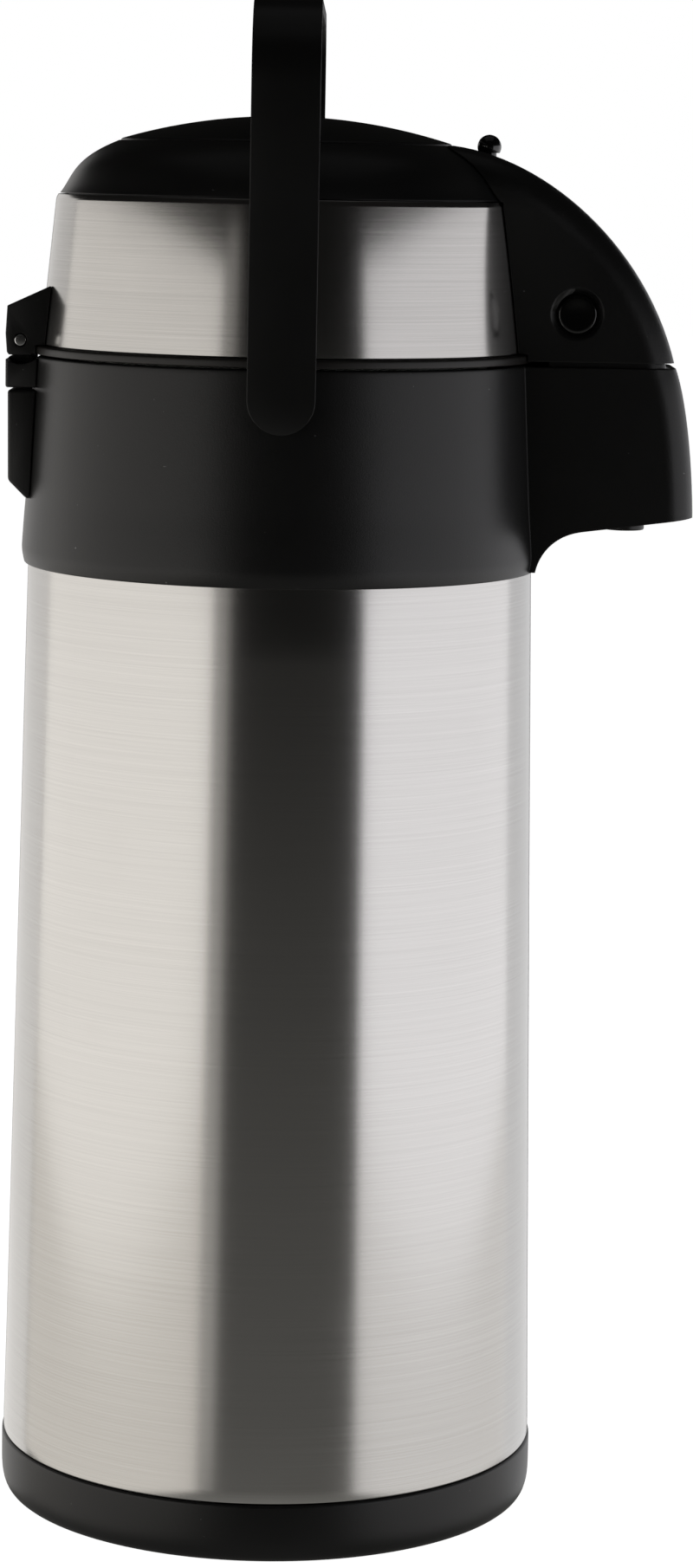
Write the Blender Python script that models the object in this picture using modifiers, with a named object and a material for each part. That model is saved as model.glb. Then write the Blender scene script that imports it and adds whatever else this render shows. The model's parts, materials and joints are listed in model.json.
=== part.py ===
"""Thermal coffee airpot: a pump-action vacuum flask with a hinged pouring lid and a swinging strap handle.

Frame: metres, +Z up, origin on the body's axis at the surface it stands on, +X towards the spout.
"""

from math import cos, pi, radians, sin, sqrt

import bmesh
import bpy
from mathutils import Matrix, Vector

MM = 0.001

# Fits
GAP = 0.3 * MM  # between pieces that touch
RUN = 0.5 * MM  # between pieces that move past each other
SCREW_PLAY = 0.3 * MM

# How finely round pieces are divided
BIG_STEPS = 40
MID_STEPS = 32
SMALL_STEPS = 20
TINY_STEPS = 10

# Base and foot
BASE_PROUD = 0.5 * MM  # rim beyond the steel
BASE_HEIGHT = 18.8 * MM
BASE_WALL = 3.2 * MM
BASE_FLOOR = 4.0 * MM
BASE_FOOT_ROUNDING = 3.4 * MM
BASE_LIFT = 0.8 * MM  # the rubber pad stands proud of the base rim by this much
PAD_INSET = 11.0 * MM
PAD_THICKNESS = 2.0 * MM
BASE_SCREW_INSET = 25.0 * MM

# Steel shell and flask
SHELL_RADIUS = 82.5 * MM
SHELL_TAPER = 5.7 * MM  # how much narrower it is at the collar
SHELL_HEIGHT = 272.0 * MM  # what shows between base and collar
SHELL_WALL = 0.9 * MM
SHELL_SPIGOT = 10.8 * MM  # how far it reaches into the base
SHELL_TUCK = 6.0 * MM  # how far it reaches up into the collar before it turns in
SHOULDER_RISE = 22.0 * MM
VACUUM_SPACE = 5.5 * MM
FLASK_WALL = 0.9 * MM
FLASK_FLOOR_RISE = 13.0 * MM
MOUTH_RADIUS = 33.0 * MM
NECK_HEIGHT = 10.0 * MM
NECK_SPACE = 4.0 * MM

# Collar
COLLAR_HEIGHT = 62.6 * MM
COLLAR_PROUD = 2.0 * MM  # lower lip beyond the steel
COLLAR_DRAFT = 3.3 * MM  # how much narrower the collar is at its top
COLLAR_WALL = 2.7 * MM
DECK_THICKNESS = 2.5 * MM
STOPPER_FLANGE = 3.0 * MM
GASKET_THICKNESS = 2.0 * MM

# Lid
LID_SPLIT = 0.6 * MM
BEAK_SPLIT = 1.3 * MM
RIM_HEIGHT = 2.5 * MM
BAND_INSET = 2.5 * MM
BAND_HEIGHT = 44.8 * MM
BAND_LEAN = 4.5 * MM
BAND_WALL = 0.8 * MM
LID_WALL = 2.2 * MM
SHOULDER_HEIGHT = 16.0 * MM
SHOULDER_WALL = 3.0 * MM
PLATE_INSET = 17.6 * MM  # the shoulder's width round the push plate
PLATE_CROWN = 7.5 * MM
PLATE_SKIRT = 22.0 * MM
PLATE_WALL = 2.4 * MM
SLEEVE_WALL = 1.8 * MM

# Pump
PUMP_TRAVEL = 24.0 * MM
PISTON_INSET = 4.9 * MM  # within the push plate
PISTON_DROP = 24.0 * MM  # from the plate's edge down to the piston's top
PISTON_THICKNESS = 3.0 * MM
BELLOWS_FOLD = 6.5 * MM
BELLOWS_SKIN = 1.2 * MM
BELLOWS_PLEATS = 5
SPRING_RADIUS = 15.0 * MM
SPRING_WIRE = 0.8 * MM
SPRING_TURNS = 5
PUMP_BASE_INSET = 10.8 * MM  # within the collar's wall
PUMP_BASE_THICKNESS = 3.0 * MM
PUMP_BASE_LEDGE = 10.0 * MM  # what the lid's web rests on
AIR_PORT_X = -18.0 * MM
AIR_PORT_RADIUS = 3.5 * MM
AIR_PORT_WALL = 3.0 * MM
AIR_SEAL_HEIGHT = 2.4 * MM

# Beak and spout
BEAK_OVERHANG = 45.9 * MM  # of its lower front edge, beyond the collar
BEAK_NOSE_SLOPE = 6.7 * MM  # how much less it reaches where lid and collar meet
BEAK_HALF_WIDTH = 21.0 * MM
BEAK_ROUNDING = 8.0 * MM
UNDER_ROUNDING = 1.0 * MM
BEAK_WALL = 2.4 * MM
BEAK_ROOT_STEP = 1.6 * MM  # from the push plate's hole to the beak's root
BEAK_NOSE_DEPTH = 44.0 * MM  # from the split down to the front edge
BEAK_UNDERSIDE_FALL = 5.5 * MM
BEAK_THROAT = 14.0 * MM  # size of the hollow curve under the beak
SPOUT_OVERHANG = 26.0 * MM  # beyond the collar
SPOUT_RADIUS = 6.2 * MM
SPOUT_DROP = 2.2 * MM
PIPE_RADIUS = 5.0 * MM
PIPE_BORE = 3.5 * MM
PIPE_BEND = 6.0 * MM
SPOUT_BEND = 12.0 * MM
TUBE_RADIUS = 4.5 * MM
TUBE_BORE = 3.2 * MM
TUBE_CLEARANCE = 6.0 * MM  # over the flask's floor

# Lock and release buttons
LOCK_OUT = 10.8 * MM  # beyond the push plate's hole
LOCK_HEAD_RADIUS = 3.6 * MM
LOCK_STEM_RADIUS = 2.2 * MM
LOCK_HEAD_TOP = 3.6 * MM  # over the lid's shoulder top
LOCK_HEAD_SUNK = 2.2 * MM  # its neck ends this far under the shoulder top
LOCK_TRAVEL = radians(10.0)
BUTTON_OUT = 9.2 * MM  # beyond the collar
BUTTON_ABOVE_SPLIT = 14.2 * MM
BUTTON_RADIUS = 6.0 * MM
BUTTON_DISH = 7.5 * MM
BUTTON_SUNK = 0.9 * MM

# Hinge
HINGE_HALF_WIDTH = 20.0 * MM
HINGE_BEHIND_COLLAR = 2.8 * MM  # pin axis behind the collar's top edge
HINGE_ABOVE_COLLAR = 4.8 * MM
PIN_RADIUS = 1.7 * MM
KNUCKLE_RADIUS = 4.4 * MM
KNUCKLE_HALF_WIDTH = 10.0 * MM
CHEEK_SWEEP = 7.2 * MM  # what the lid's cheeks sweep round the pin
LUG_RISE = 16.1 * MM
BLOCK_HEIGHT = 9.2 * MM
COVER_HEIGHT = 32.5 * MM

# Handle
HANDLE_X = 1.0 * MM
HANDLE_BELOW_COLLAR_TOP = 8.4 * MM
STRAP_WIDTH = 19.6 * MM
STRAP_THICKNESS = 3.8 * MM
STRAP_CLEAR_OF_COLLAR = 2.8 * MM
STRAP_TOP_OVER_PLATE = 32.6 * MM
STRAP_CORNER = 24.0 * MM
BUSH_RADIUS = 5.5 * MM
BUSH_FLANGE = 8.4 * MM
BUSH_TIP = 4.0 * MM
BUSH_TIP_LENGTH = 2.3 * MM

# Heights that follow
BASE_TOP = BASE_HEIGHT
SHELL_START = BASE_TOP + GAP
COLLAR_BOTTOM = BASE_TOP + SHELL_HEIGHT
COLLAR_TOP = COLLAR_BOTTOM + COLLAR_HEIGHT
LID_BOTTOM = COLLAR_TOP + LID_SPLIT
BAND_BOTTOM = LID_BOTTOM + RIM_HEIGHT + GAP
BAND_TOP = BAND_BOTTOM + BAND_HEIGHT
SHOULDER_BOTTOM = BAND_TOP + GAP
SHOULDER_TOP = SHOULDER_BOTTOM + SHOULDER_HEIGHT
PLATE_EDGE = SHOULDER_TOP + RUN
PLATE_TOP = PLATE_EDGE + PLATE_CROWN
PISTON_TOP = PLATE_EDGE - PISTON_DROP
PISTON_BOTTOM = PISTON_TOP - PISTON_THICKNESS
PUMP_BASE_TOP = LID_BOTTOM - GAP
PUMP_BASE_BOTTOM = PUMP_BASE_TOP - PUMP_BASE_THICKNESS
NECK_TOP = COLLAR_BOTTOM + SHELL_TUCK + SHOULDER_RISE + NECK_HEIGHT
LIP_TOP = NECK_TOP + GAP + FLASK_WALL
GASKET_BOTTOM = LIP_TOP + GAP
FLANGE_BOTTOM = GASKET_BOTTOM + GASKET_THICKNESS + GAP
FLANGE_TOP = FLANGE_BOTTOM + STOPPER_FLANGE
DECK_BOTTOM = LIP_TOP
DECK_TOP = DECK_BOTTOM + DECK_THICKNESS
BEAK_SPLIT_TOP = COLLAR_TOP + BEAK_SPLIT
HANDLE_Z = COLLAR_TOP - HANDLE_BELOW_COLLAR_TOP
STRAP_TOP = PLATE_TOP + STRAP_TOP_OVER_PLATE
PIPE_HEIGHT = FLANGE_TOP + GAP + PIPE_BEND + 2.0 * MM

# Radii that follow
SHELL_TOP_RADIUS = SHELL_RADIUS - SHELL_TAPER
BASE_RADIUS = SHELL_RADIUS + BASE_PROUD
BASE_SCREW_CIRCLE = BASE_RADIUS - BASE_SCREW_INSET
SPIGOT_RADIUS = BASE_RADIUS - BASE_WALL - GAP
NECK_RADIUS = MOUTH_RADIUS + FLASK_WALL + NECK_SPACE + SHELL_WALL
COLLAR_RADIUS = SHELL_TOP_RADIUS + COLLAR_PROUD
COLLAR_TOP_RADIUS = COLLAR_RADIUS - COLLAR_DRAFT
RIM_RADIUS = COLLAR_TOP_RADIUS + 0.5 * MM
BAND_RADIUS = RIM_RADIUS - BAND_INSET
BAND_TOP_RADIUS = BAND_RADIUS - BAND_LEAN
SHOULDER_RADIUS = BAND_TOP_RADIUS - 1.0 * MM
DECK_HOLE = NECK_RADIUS + 2 * GAP
PLATE_HOLE = SHOULDER_RADIUS - PLATE_INSET
PLATE_RADIUS = PLATE_HOLE - RUN
PISTON_RADIUS = PLATE_RADIUS - PISTON_INSET
BELLOWS_RADIUS = PISTON_RADIUS - RUN
PUMP_BASE_RADIUS = COLLAR_TOP_RADIUS - COLLAR_WALL - PUMP_BASE_INSET
PUMP_BORE = PUMP_BASE_RADIUS - PUMP_BASE_LEDGE
LID_SCREW_CIRCLE = PUMP_BASE_RADIUS - PUMP_BASE_LEDGE / 2
LOCK_CIRCLE = PLATE_HOLE + LOCK_OUT
LOCK_NECK = SHOULDER_TOP - LOCK_HEAD_SUNK
BEAK_ROOT_RADIUS = PLATE_HOLE + BEAK_ROOT_STEP
BEAK_REACH = COLLAR_RADIUS + BEAK_OVERHANG
BEAK_REACH_SPLIT = BEAK_REACH - BEAK_NOSE_SLOPE
SPOUT_X = COLLAR_RADIUS + SPOUT_OVERHANG
BUTTON_X = COLLAR_RADIUS + BUTTON_OUT
SLEEVE_RADIUS = PLATE_HOLE + SLEEVE_WALL
HINGE_X = -(COLLAR_TOP_RADIUS + HINGE_BEHIND_COLLAR)
HINGE_Z = COLLAR_TOP + HINGE_ABOVE_COLLAR
STRAP_INNER_Y = COLLAR_TOP_RADIUS + STRAP_CLEAR_OF_COLLAR + 0.3 * MM
STRAP_OUTER_Y = STRAP_INNER_Y + STRAP_THICKNESS
BUTTON_Z = BEAK_SPLIT_TOP + BUTTON_ABOVE_SPLIT


# ---------------------------------------------------------------- scene and materials


def clear_scene():
    for obj in list(bpy.data.objects):
        bpy.data.objects.remove(obj, do_unlink=True)


def new_collection(name):
    collection = bpy.data.collections.new(name)
    bpy.context.scene.collection.children.link(collection)
    return collection


def make_material(name, colour, roughness, metallic=0.0):
    made = bpy.data.materials.new(name)
    made.use_nodes = True
    shader = made.node_tree.nodes["Principled BSDF"]
    shader.inputs["Base Color"].default_value = (*colour, 1.0)
    shader.inputs["Roughness"].default_value = roughness
    shader.inputs["Metallic"].default_value = metallic
    return made


clear_scene()
PARTS = new_collection("thermal_airpot")
CUTTERS = new_collection("airpot_cutters")
CUTTERS.hide_render = True

BLACK = (0.018, 0.018, 0.019)
STEEL = (0.56, 0.55, 0.53)


# ---------------------------------------------------------------- modelling helpers


def place(obj, colour=None, roughness=0.5, metallic=0.0):
    """Puts a piece among the parts, with a material of its own."""
    for owner in list(obj.users_collection):
        owner.objects.unlink(obj)
    if colour is None:
        CUTTERS.objects.link(obj)
        obj.hide_render = True
        obj.display_type = "WIRE"
        return obj
    PARTS.objects.link(obj)
    obj.data.materials.clear()
    obj.data.materials.append(make_material(obj.name + "_finish", colour, roughness, metallic))
    return obj


def object_of(bm, name, smooth_angle=35.0):
    bmesh.ops.recalc_face_normals(bm, faces=bm.faces)
    mesh = bpy.data.meshes.new(name)
    bm.to_mesh(mesh)
    bm.free()
    mesh.shade_smooth()
    mesh.set_sharp_from_angle(angle=radians(smooth_angle))
    obj = bpy.data.objects.new(name, mesh)
    bpy.context.scene.collection.objects.link(obj)
    return obj


def baked(obj):
    """Replaces the object's mesh by its evaluated one and smooths it."""
    graph = bpy.context.evaluated_depsgraph_get()
    mesh = bpy.data.meshes.new_from_object(obj.evaluated_get(graph))
    world = obj.matrix_world.copy()
    name = obj.name
    bpy.data.objects.remove(obj, do_unlink=True)
    bm = bmesh.new()
    bm.from_mesh(mesh)
    bmesh.ops.transform(bm, matrix=world, verts=bm.verts)
    bmesh.ops.remove_doubles(bm, verts=bm.verts, dist=0.002 * MM)
    bpy.data.meshes.remove(mesh)
    return object_of(bm, name)


def turned(name, profile, steps=BIG_STEPS):
    """A profile of (radius, height) points spun about Z. It runs down the outer side, top to bottom."""
    closed = profile[0][0] > 0
    bm = bmesh.new()
    points = [bm.verts.new((r, 0.0, z)) for r, z in profile]
    for first, second in zip(points, points[1:]):
        bm.edges.new((first, second))
    if closed:
        bm.edges.new((points[-1], points[0]))
    mesh = bpy.data.meshes.new(name)
    bm.to_mesh(mesh)
    bm.free()
    obj = bpy.data.objects.new(name, mesh)
    bpy.context.scene.collection.objects.link(obj)
    screw = obj.modifiers.new("Turn", "SCREW")
    screw.steps = steps
    screw.render_steps = steps
    screw.use_merge_vertices = True
    screw.merge_threshold = 0.00001
    bpy.context.view_layer.update()
    return baked(obj)


def prism(name, outline, axis, low, high):
    """A closed outline pushed through from low to high.

    For axis X the outline is (y, z), for axis Y it is (x, z), for axis Z it is (x, y).
    """
    frames = {
        "X": lambda a, b, t: (t, a, b),
        "Y": lambda a, b, t: (a, t, b),
        "Z": lambda a, b, t: (a, b, t),
    }
    at = frames[axis]
    bm = bmesh.new()
    start = bm.faces.new([bm.verts.new(at(a, b, low)) for a, b in outline])
    pushed = bmesh.ops.extrude_face_region(bm, geom=[start])
    moved = [v for v in pushed["geom"] if isinstance(v, bmesh.types.BMVert)]
    bmesh.ops.translate(bm, verts=moved, vec=Vector(at(0.0, 0.0, high - low)))
    return object_of(bm, name)


def soft_prism(name, outline, half, levels):
    """A side view (x, z) widened to both sides of Y, whose points draw in towards its side faces.

    Each point is (x, z, (inward x, inward z), rounding): the rounding of the side rim at that point.
    """
    most = max(point[3] for point in outline)
    rounds = [half - most * (1 - sin(radians(90.0 * i / levels))) for i in range(levels + 1)]
    bm = bmesh.new()
    rings = []
    for y in [-y for y in reversed(rounds)] + rounds:
        ring = []
        for x, z, (in_x, in_z), rounding in outline:
            past = max(0.0, abs(y) - (half - rounding))
            drawn = rounding - sqrt(max(0.0, rounding**2 - past**2))
            ring.append(bm.verts.new((x + in_x * drawn, y, z + in_z * drawn)))
        rings.append(ring)
    bm.faces.new(rings[0])
    bm.faces.new(rings[-1])
    for first, second in zip(rings, rings[1:]):
        for i in range(len(outline)):
            j = (i + 1) % len(outline)
            bm.faces.new((first[i], first[j], second[j], second[i]))
    return object_of(bm, name)


def box(name, low, high):
    bm = bmesh.new()
    bmesh.ops.create_cube(bm, size=1.0)
    size = [b - a for a, b in zip(low, high)]
    middle = [(a + b) / 2 for a, b in zip(low, high)]
    bmesh.ops.scale(bm, vec=size, verts=bm.verts)
    bmesh.ops.translate(bm, vec=middle, verts=bm.verts)
    return object_of(bm, name)


def rod(name, start, end, radius, steps=SMALL_STEPS, end_radius=None):
    """A round bar or cone between two points."""
    start = Vector(start)
    end = Vector(end)
    bm = bmesh.new()
    bmesh.ops.create_cone(
        bm,
        cap_ends=True,
        segments=steps,
        radius1=radius,
        radius2=radius if end_radius is None else end_radius,
        depth=(end - start).length,
    )
    turn = Vector((0, 0, 1)).rotation_difference(end - start).to_matrix().to_4x4()
    bmesh.ops.transform(bm, matrix=Matrix.Translation((start + end) / 2) @ turn, verts=bm.verts)
    return object_of(bm, name)


def wire(name, points, radius, sides=2):
    """A round wire or pipe along points, with flat ends, as a mesh."""
    curve = bpy.data.curves.new(name, "CURVE")
    curve.dimensions = "3D"
    curve.bevel_depth = radius
    curve.bevel_resolution = sides
    curve.use_fill_caps = True
    spline = curve.splines.new("POLY")
    spline.points.add(len(points) - 1)
    for knot, point in zip(spline.points, points):
        knot.co = (*point, 1.0)
    obj = bpy.data.objects.new(name, curve)
    bpy.context.scene.collection.objects.link(obj)
    bpy.context.view_layer.update()
    return baked(obj)


def combine(obj, operation, *others):
    """Adds one live Boolean for each of the others, which become helpers."""
    for other in others:
        place(other)
        modifier = obj.modifiers.new(operation.title() + " " + other.name, "BOOLEAN")
        modifier.operation = operation
        modifier.solver = "EXACT"
        modifier.object = other
    return obj


def cut(obj, *others):
    return combine(obj, "DIFFERENCE", *others)


def join(obj, *others):
    return combine(obj, "UNION", *others)


def arc(centre, radius, start, end, count):
    """Points (a, b) along an arc, angles in degrees."""
    found = []
    for i in range(count + 1):
        angle = radians(start + (end - start) * i / count)
        found.append((centre[0] + radius * cos(angle), centre[1] + radius * sin(angle)))
    return found


def bezier(p0, p1, p2, p3, count):
    found = []
    for i in range(count + 1):
        t = i / count
        s = 1 - t
        weights = (s * s * s, 3 * s * s * t, 3 * s * t * t, t * t * t)
        a = sum(w * p[0] for w, p in zip(weights, (p0, p1, p2, p3)))
        b = sum(w * p[1] for w, p in zip(weights, (p0, p1, p2, p3)))
        found.append((a, b))
    return found


def inward(outline):
    """For each point of a closed outline, the step that moves both its edges in by one unit."""
    area = sum(a[0] * b[1] - b[0] * a[1] for a, b in zip(outline, outline[1:] + outline[:1]))
    side = 1.0 if area > 0 else -1.0
    found = []
    for before, here, after in zip(outline[-1:] + outline[:-1], outline, outline[1:] + outline[:1]):
        first = Vector((here[0] - before[0], here[1] - before[1])).normalized()
        second = Vector((after[0] - here[0], after[1] - here[1])).normalized()
        middle = Vector((-first.y - second.y, first.x + second.x)).normalized() * side
        turn = max(0.5, middle.dot(Vector((-first.y, first.x)) * side))
        found.append(middle / turn)
    return found


def shell_radius(z):
    """Outer radius of the tapered steel at a height."""
    return SHELL_RADIUS - SHELL_TAPER * (z - BASE_TOP) / SHELL_HEIGHT


# ---------------------------------------------------------------- base


def screw_places(circle, count, first):
    step = 360.0 / count
    return [
        (circle * cos(radians(first + step * i)), circle * sin(radians(first + step * i)))
        for i in range(count)
    ]


def screw_up(name, x, y, head_low, head_height, head_radius, shank_radius, tip):
    """A pan-head screw driven upwards."""
    neck = head_low + head_height
    made = turned(
        name,
        [
            (0.0, tip),
            (shank_radius * 0.6, tip),
            (shank_radius, tip - shank_radius),
            (shank_radius, neck),
            (head_radius, neck),
            (head_radius, head_low + head_height * 0.4),
            (head_radius * 0.75, head_low),
            (0.0, head_low),
        ],
        TINY_STEPS,
    )
    made.data.transform(Matrix.Translation((x, y, 0.0)))
    return place(made, (0.45, 0.45, 0.46), 0.35, 1.0)


BASE_SCREWS = screw_places(BASE_SCREW_CIRCLE, 3, 90.0)
SCREW_HEAD = 3.4 * MM
SCREW_SHANK = 1.5 * MM


def build_base():
    floor = PAD_THICKNESS + GAP
    pad_radius = BASE_RADIUS - PAD_INSET
    place(
        turned(
            "foot_pad",
            [
                (0.0, PAD_THICKNESS),
                (pad_radius, PAD_THICKNESS),
                (pad_radius, 0.5 * MM),
                (pad_radius - 0.5 * MM, 0.0),
                (0.0, 0.0),
            ],
        ),
        (0.03, 0.03, 0.03),
        0.9,
    )
    foot = (BASE_RADIUS - BASE_FOOT_ROUNDING, BASE_LIFT)
    side = (BASE_RADIUS, BASE_TOP * 0.5)
    base = turned(
        "base_cup",
        [(0.0, floor + BASE_FLOOR)]
        + [(BASE_RADIUS - BASE_WALL, floor + BASE_FLOOR)]
        + [(BASE_RADIUS - BASE_WALL, BASE_TOP), (BASE_RADIUS - 0.5 * MM, BASE_TOP)]
        + [(BASE_RADIUS, BASE_TOP - 0.5 * MM)]
        + bezier(side, (BASE_RADIUS, BASE_TOP * 0.2), (BASE_RADIUS - 1.2 * MM, BASE_LIFT), foot, 5)
        + [(pad_radius + 1.5 * MM, BASE_LIFT), (pad_radius + GAP, floor), (0.0, floor)],
    )
    for i, (x, y) in enumerate(BASE_SCREWS):
        head = SCREW_HEAD + SCREW_PLAY
        sink = rod(f"base_sink_{i}", (x, y, 0.0), (x, y, floor + 2.2 * MM), head, TINY_STEPS)
        hole = rod(
            f"base_hole_{i}", (x, y, 0.0), (x, y, BASE_TOP), SCREW_SHANK + SCREW_PLAY, TINY_STEPS
        )
        cut(base, sink, hole)
        screw_up(
            f"base_screw_{i + 1}",
            x,
            y,
            floor + 0.2 * MM,
            1.7 * MM,
            SCREW_HEAD,
            SCREW_SHANK,
            floor + BASE_FLOOR + 7.5 * MM,
        )
    place(base, BLACK, 0.45)


# ---------------------------------------------------------------- shell and flask


def build_shell():
    bottom = SHELL_START - SHELL_SPIGOT
    tuck = COLLAR_BOTTOM + SHELL_TUCK
    top = tuck + SHOULDER_RISE
    edge = shell_radius(tuck)
    bend = bezier(
        (NECK_RADIUS + 2.0 * MM, top),
        (NECK_RADIUS + 22.0 * MM, top - 1.0 * MM),
        (edge - 3.0 * MM, tuck + SHOULDER_RISE * 0.62),
        (edge, tuck),
        6,
    )
    outer = [(NECK_RADIUS, NECK_TOP), (NECK_RADIUS, top + 1.5 * MM)] + bend
    outer += [(SHELL_RADIUS, SHELL_START), (SPIGOT_RADIUS, SHELL_START), (SPIGOT_RADIUS, bottom)]
    inner = [(SPIGOT_RADIUS - SHELL_WALL, bottom), (SPIGOT_RADIUS - SHELL_WALL, SHELL_START + SHELL_WALL)]
    inner += [(SHELL_RADIUS - SHELL_WALL, SHELL_START + SHELL_WALL)]
    inner += [(r - SHELL_WALL * 0.9, z - SHELL_WALL * 0.7) for r, z in reversed(bend)]
    inner += [(NECK_RADIUS - SHELL_WALL, top + 0.5 * MM), (NECK_RADIUS - SHELL_WALL, NECK_TOP)]
    place(turned("outer_shell", outer + inner), STEEL, 0.3, 1.0)

    cap_radius = SPIGOT_RADIUS - SHELL_WALL - GAP
    cap = turned(
        "shell_bottom_cap",
        [
            (0.0, bottom + SHELL_WALL),
            (cap_radius - SHELL_WALL, bottom + SHELL_WALL),
            (cap_radius - SHELL_WALL, bottom + 6.0 * MM),
            (cap_radius, bottom + 6.0 * MM),
            (cap_radius, bottom),
            (0.0, bottom),
        ],
    )
    for i, (x, y) in enumerate(BASE_SCREWS):
        hole = rod(
            f"cap_hole_{i}",
            (x, y, 0.0),
            (x, y, BASE_TOP + 5.0 * MM),
            SCREW_SHANK + SCREW_PLAY,
            TINY_STEPS,
        )
        cut(cap, hole)
    place(cap, STEEL, 0.35, 1.0)


def flask_profile(shrink, lip):
    """Profile of the flask's outer face, or of its inner face when shrunk by its wall, from the neck down."""
    off = SHELL_WALL + VACUUM_SPACE + shrink
    tuck = COLLAR_BOTTOM + SHELL_TUCK
    top = tuck + SHOULDER_RISE - SHELL_WALL - VACUUM_SPACE - shrink
    neck = MOUTH_RADIUS + FLASK_WALL - shrink
    low = SHELL_START + FLASK_FLOOR_RISE + shrink
    start = low - shrink
    points = [(neck, lip), (neck, top + 2.0 * MM)]
    points += bezier(
        (neck + 2.0 * MM, top),
        (neck + 20.0 * MM, top - 1.0 * MM),
        (shell_radius(tuck) - off - 3.0 * MM, tuck + SHOULDER_RISE * 0.3),
        (shell_radius(tuck) - off, tuck - 8.0 * MM),
        5,
    )
    wide = shell_radius(start) - off
    points += bezier(
        (wide, start + 16.0 * MM),
        (wide, low + 4.0 * MM),
        (wide - 6.0 * MM, low),
        (wide - 20.0 * MM, low),
        4,
    )
    return points + [(0.0, low)]


def build_flask():
    outer = flask_profile(0.0, NECK_TOP + GAP)
    inner = flask_profile(FLASK_WALL, LIP_TOP)
    profile = list(reversed(inner)) + [(NECK_RADIUS, LIP_TOP), (NECK_RADIUS, NECK_TOP + GAP)] + outer
    place(turned("inner_flask", profile, MID_STEPS), STEEL, 0.25, 1.0)
    place(
        turned(
            "mouth_gasket",
            [
                (NECK_RADIUS - GAP, GASKET_BOTTOM + GASKET_THICKNESS),
                (NECK_RADIUS - GAP, GASKET_BOTTOM),
                (MOUTH_RADIUS + 0.8 * MM, GASKET_BOTTOM),
                (MOUTH_RADIUS + 0.8 * MM, GASKET_BOTTOM + GASKET_THICKNESS),
            ],
            MID_STEPS,
        ),
        (0.55, 0.55, 0.53),
        0.6,
    )


# ---------------------------------------------------------------- beak


def beak_outline(wall):
    """Side view of the whole beak, lid part and collar part, as soft_prism reads it.

    With a wall it is the outline of the room inside.
    """
    root = (BEAK_ROOT_RADIUS - 2.0 * MM, SHOULDER_TOP + 0.1 * MM)
    split = (BEAK_REACH_SPLIT, COLLAR_TOP + BEAK_SPLIT * 0.5)
    nose = (BEAK_REACH, COLLAR_TOP - BEAK_NOSE_DEPTH)
    ridge = bezier(
        root,
        (root[0] + 27.4 * MM, root[1] - 3.1 * MM),
        (split[0] - 9.4 * MM, split[1] + 35.8 * MM),
        split,
        14,
    )
    front = bezier(
        split,
        (split[0] + 3.7 * MM, split[1] - 9.0 * MM),
        (nose[0] - 0.6 * MM, nose[1] + 17.0 * MM),
        nose,
        6,
    )
    throat_x = COLLAR_RADIUS + BEAK_THROAT - 2.0 * MM
    throat_z = nose[1] - BEAK_UNDERSIDE_FALL
    corner = [] if wall else [(nose[0] - 0.8 * MM, nose[1] - 1.1 * MM)]
    throat = bezier(
        (throat_x, throat_z),
        (throat_x - BEAK_THROAT * 0.6, throat_z - 1.2 * MM),
        (COLLAR_RADIUS - 0.6 * MM, COLLAR_BOTTOM + 6.0 * MM),
        (COLLAR_RADIUS - 1.6 * MM, COLLAR_BOTTOM + 0.6 * MM),
        4,
    )
    back = [(BEAK_ROOT_RADIUS - 12.0 * MM, COLLAR_BOTTOM + 0.6 * MM)]
    back += [(BEAK_ROOT_RADIUS - 12.0 * MM, root[1] + 0.4 * MM)]
    brow = ridge + front[1:] + corner
    outline = brow + throat + back
    steps = inward(outline)
    soft = BEAK_ROUNDING - wall
    found = []
    for i, ((x, z), step) in enumerate(zip(outline, steps)):
        place_in = (x + step[0] * wall, z + step[1] * wall)
        if i < len(ridge):
            found.append((*place_in, tuple(step), soft))
        elif i < len(brow):
            found.append((*place_in, (-1.0, 0.0), soft))
        else:
            found.append((*place_in, tuple(step), UNDER_ROUNDING))
    return found


def beak_blank(name):
    return soft_prism(name, beak_outline(0.0), BEAK_HALF_WIDTH, 4)


def beak_hollow(name, low, high, back):
    """The room inside the beak between two heights."""
    room = soft_prism(name, beak_outline(BEAK_WALL), BEAK_HALF_WIDTH - BEAK_WALL, 3)
    wide = BEAK_HALF_WIDTH + 5.0 * MM
    limit = box(name + "_limit", (back, -wide, low), (BEAK_REACH + 5.0 * MM, wide, high))
    return combine(room, "INTERSECT", limit)


def lid_envelope(name, play):
    """The turned outside of the lid, which pieces fixed to it are cut to fit."""
    shoulder = [(r + play * 0.8, z + play * 0.8) for r, z in shoulder_curve()]
    return turned(
        name,
        [(0.0, PLATE_TOP + 20.0 * MM), (BEAK_ROOT_RADIUS, PLATE_TOP + 20.0 * MM)]
        + [(BEAK_ROOT_RADIUS, shoulder_at(BEAK_ROOT_RADIUS) + play)]
        + [point for point in shoulder if point[0] > BEAK_ROOT_RADIUS + play]
        + [(BAND_TOP_RADIUS + play, BAND_TOP + play), (BAND_RADIUS + play, BAND_BOTTOM + play)]
        + [(RIM_RADIUS + play, BAND_BOTTOM), (RIM_RADIUS + play, COLLAR_TOP - 10.0 * MM)]
        + [(0.0, COLLAR_TOP - 10.0 * MM)],
    )


# ---------------------------------------------------------------- collar


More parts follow.
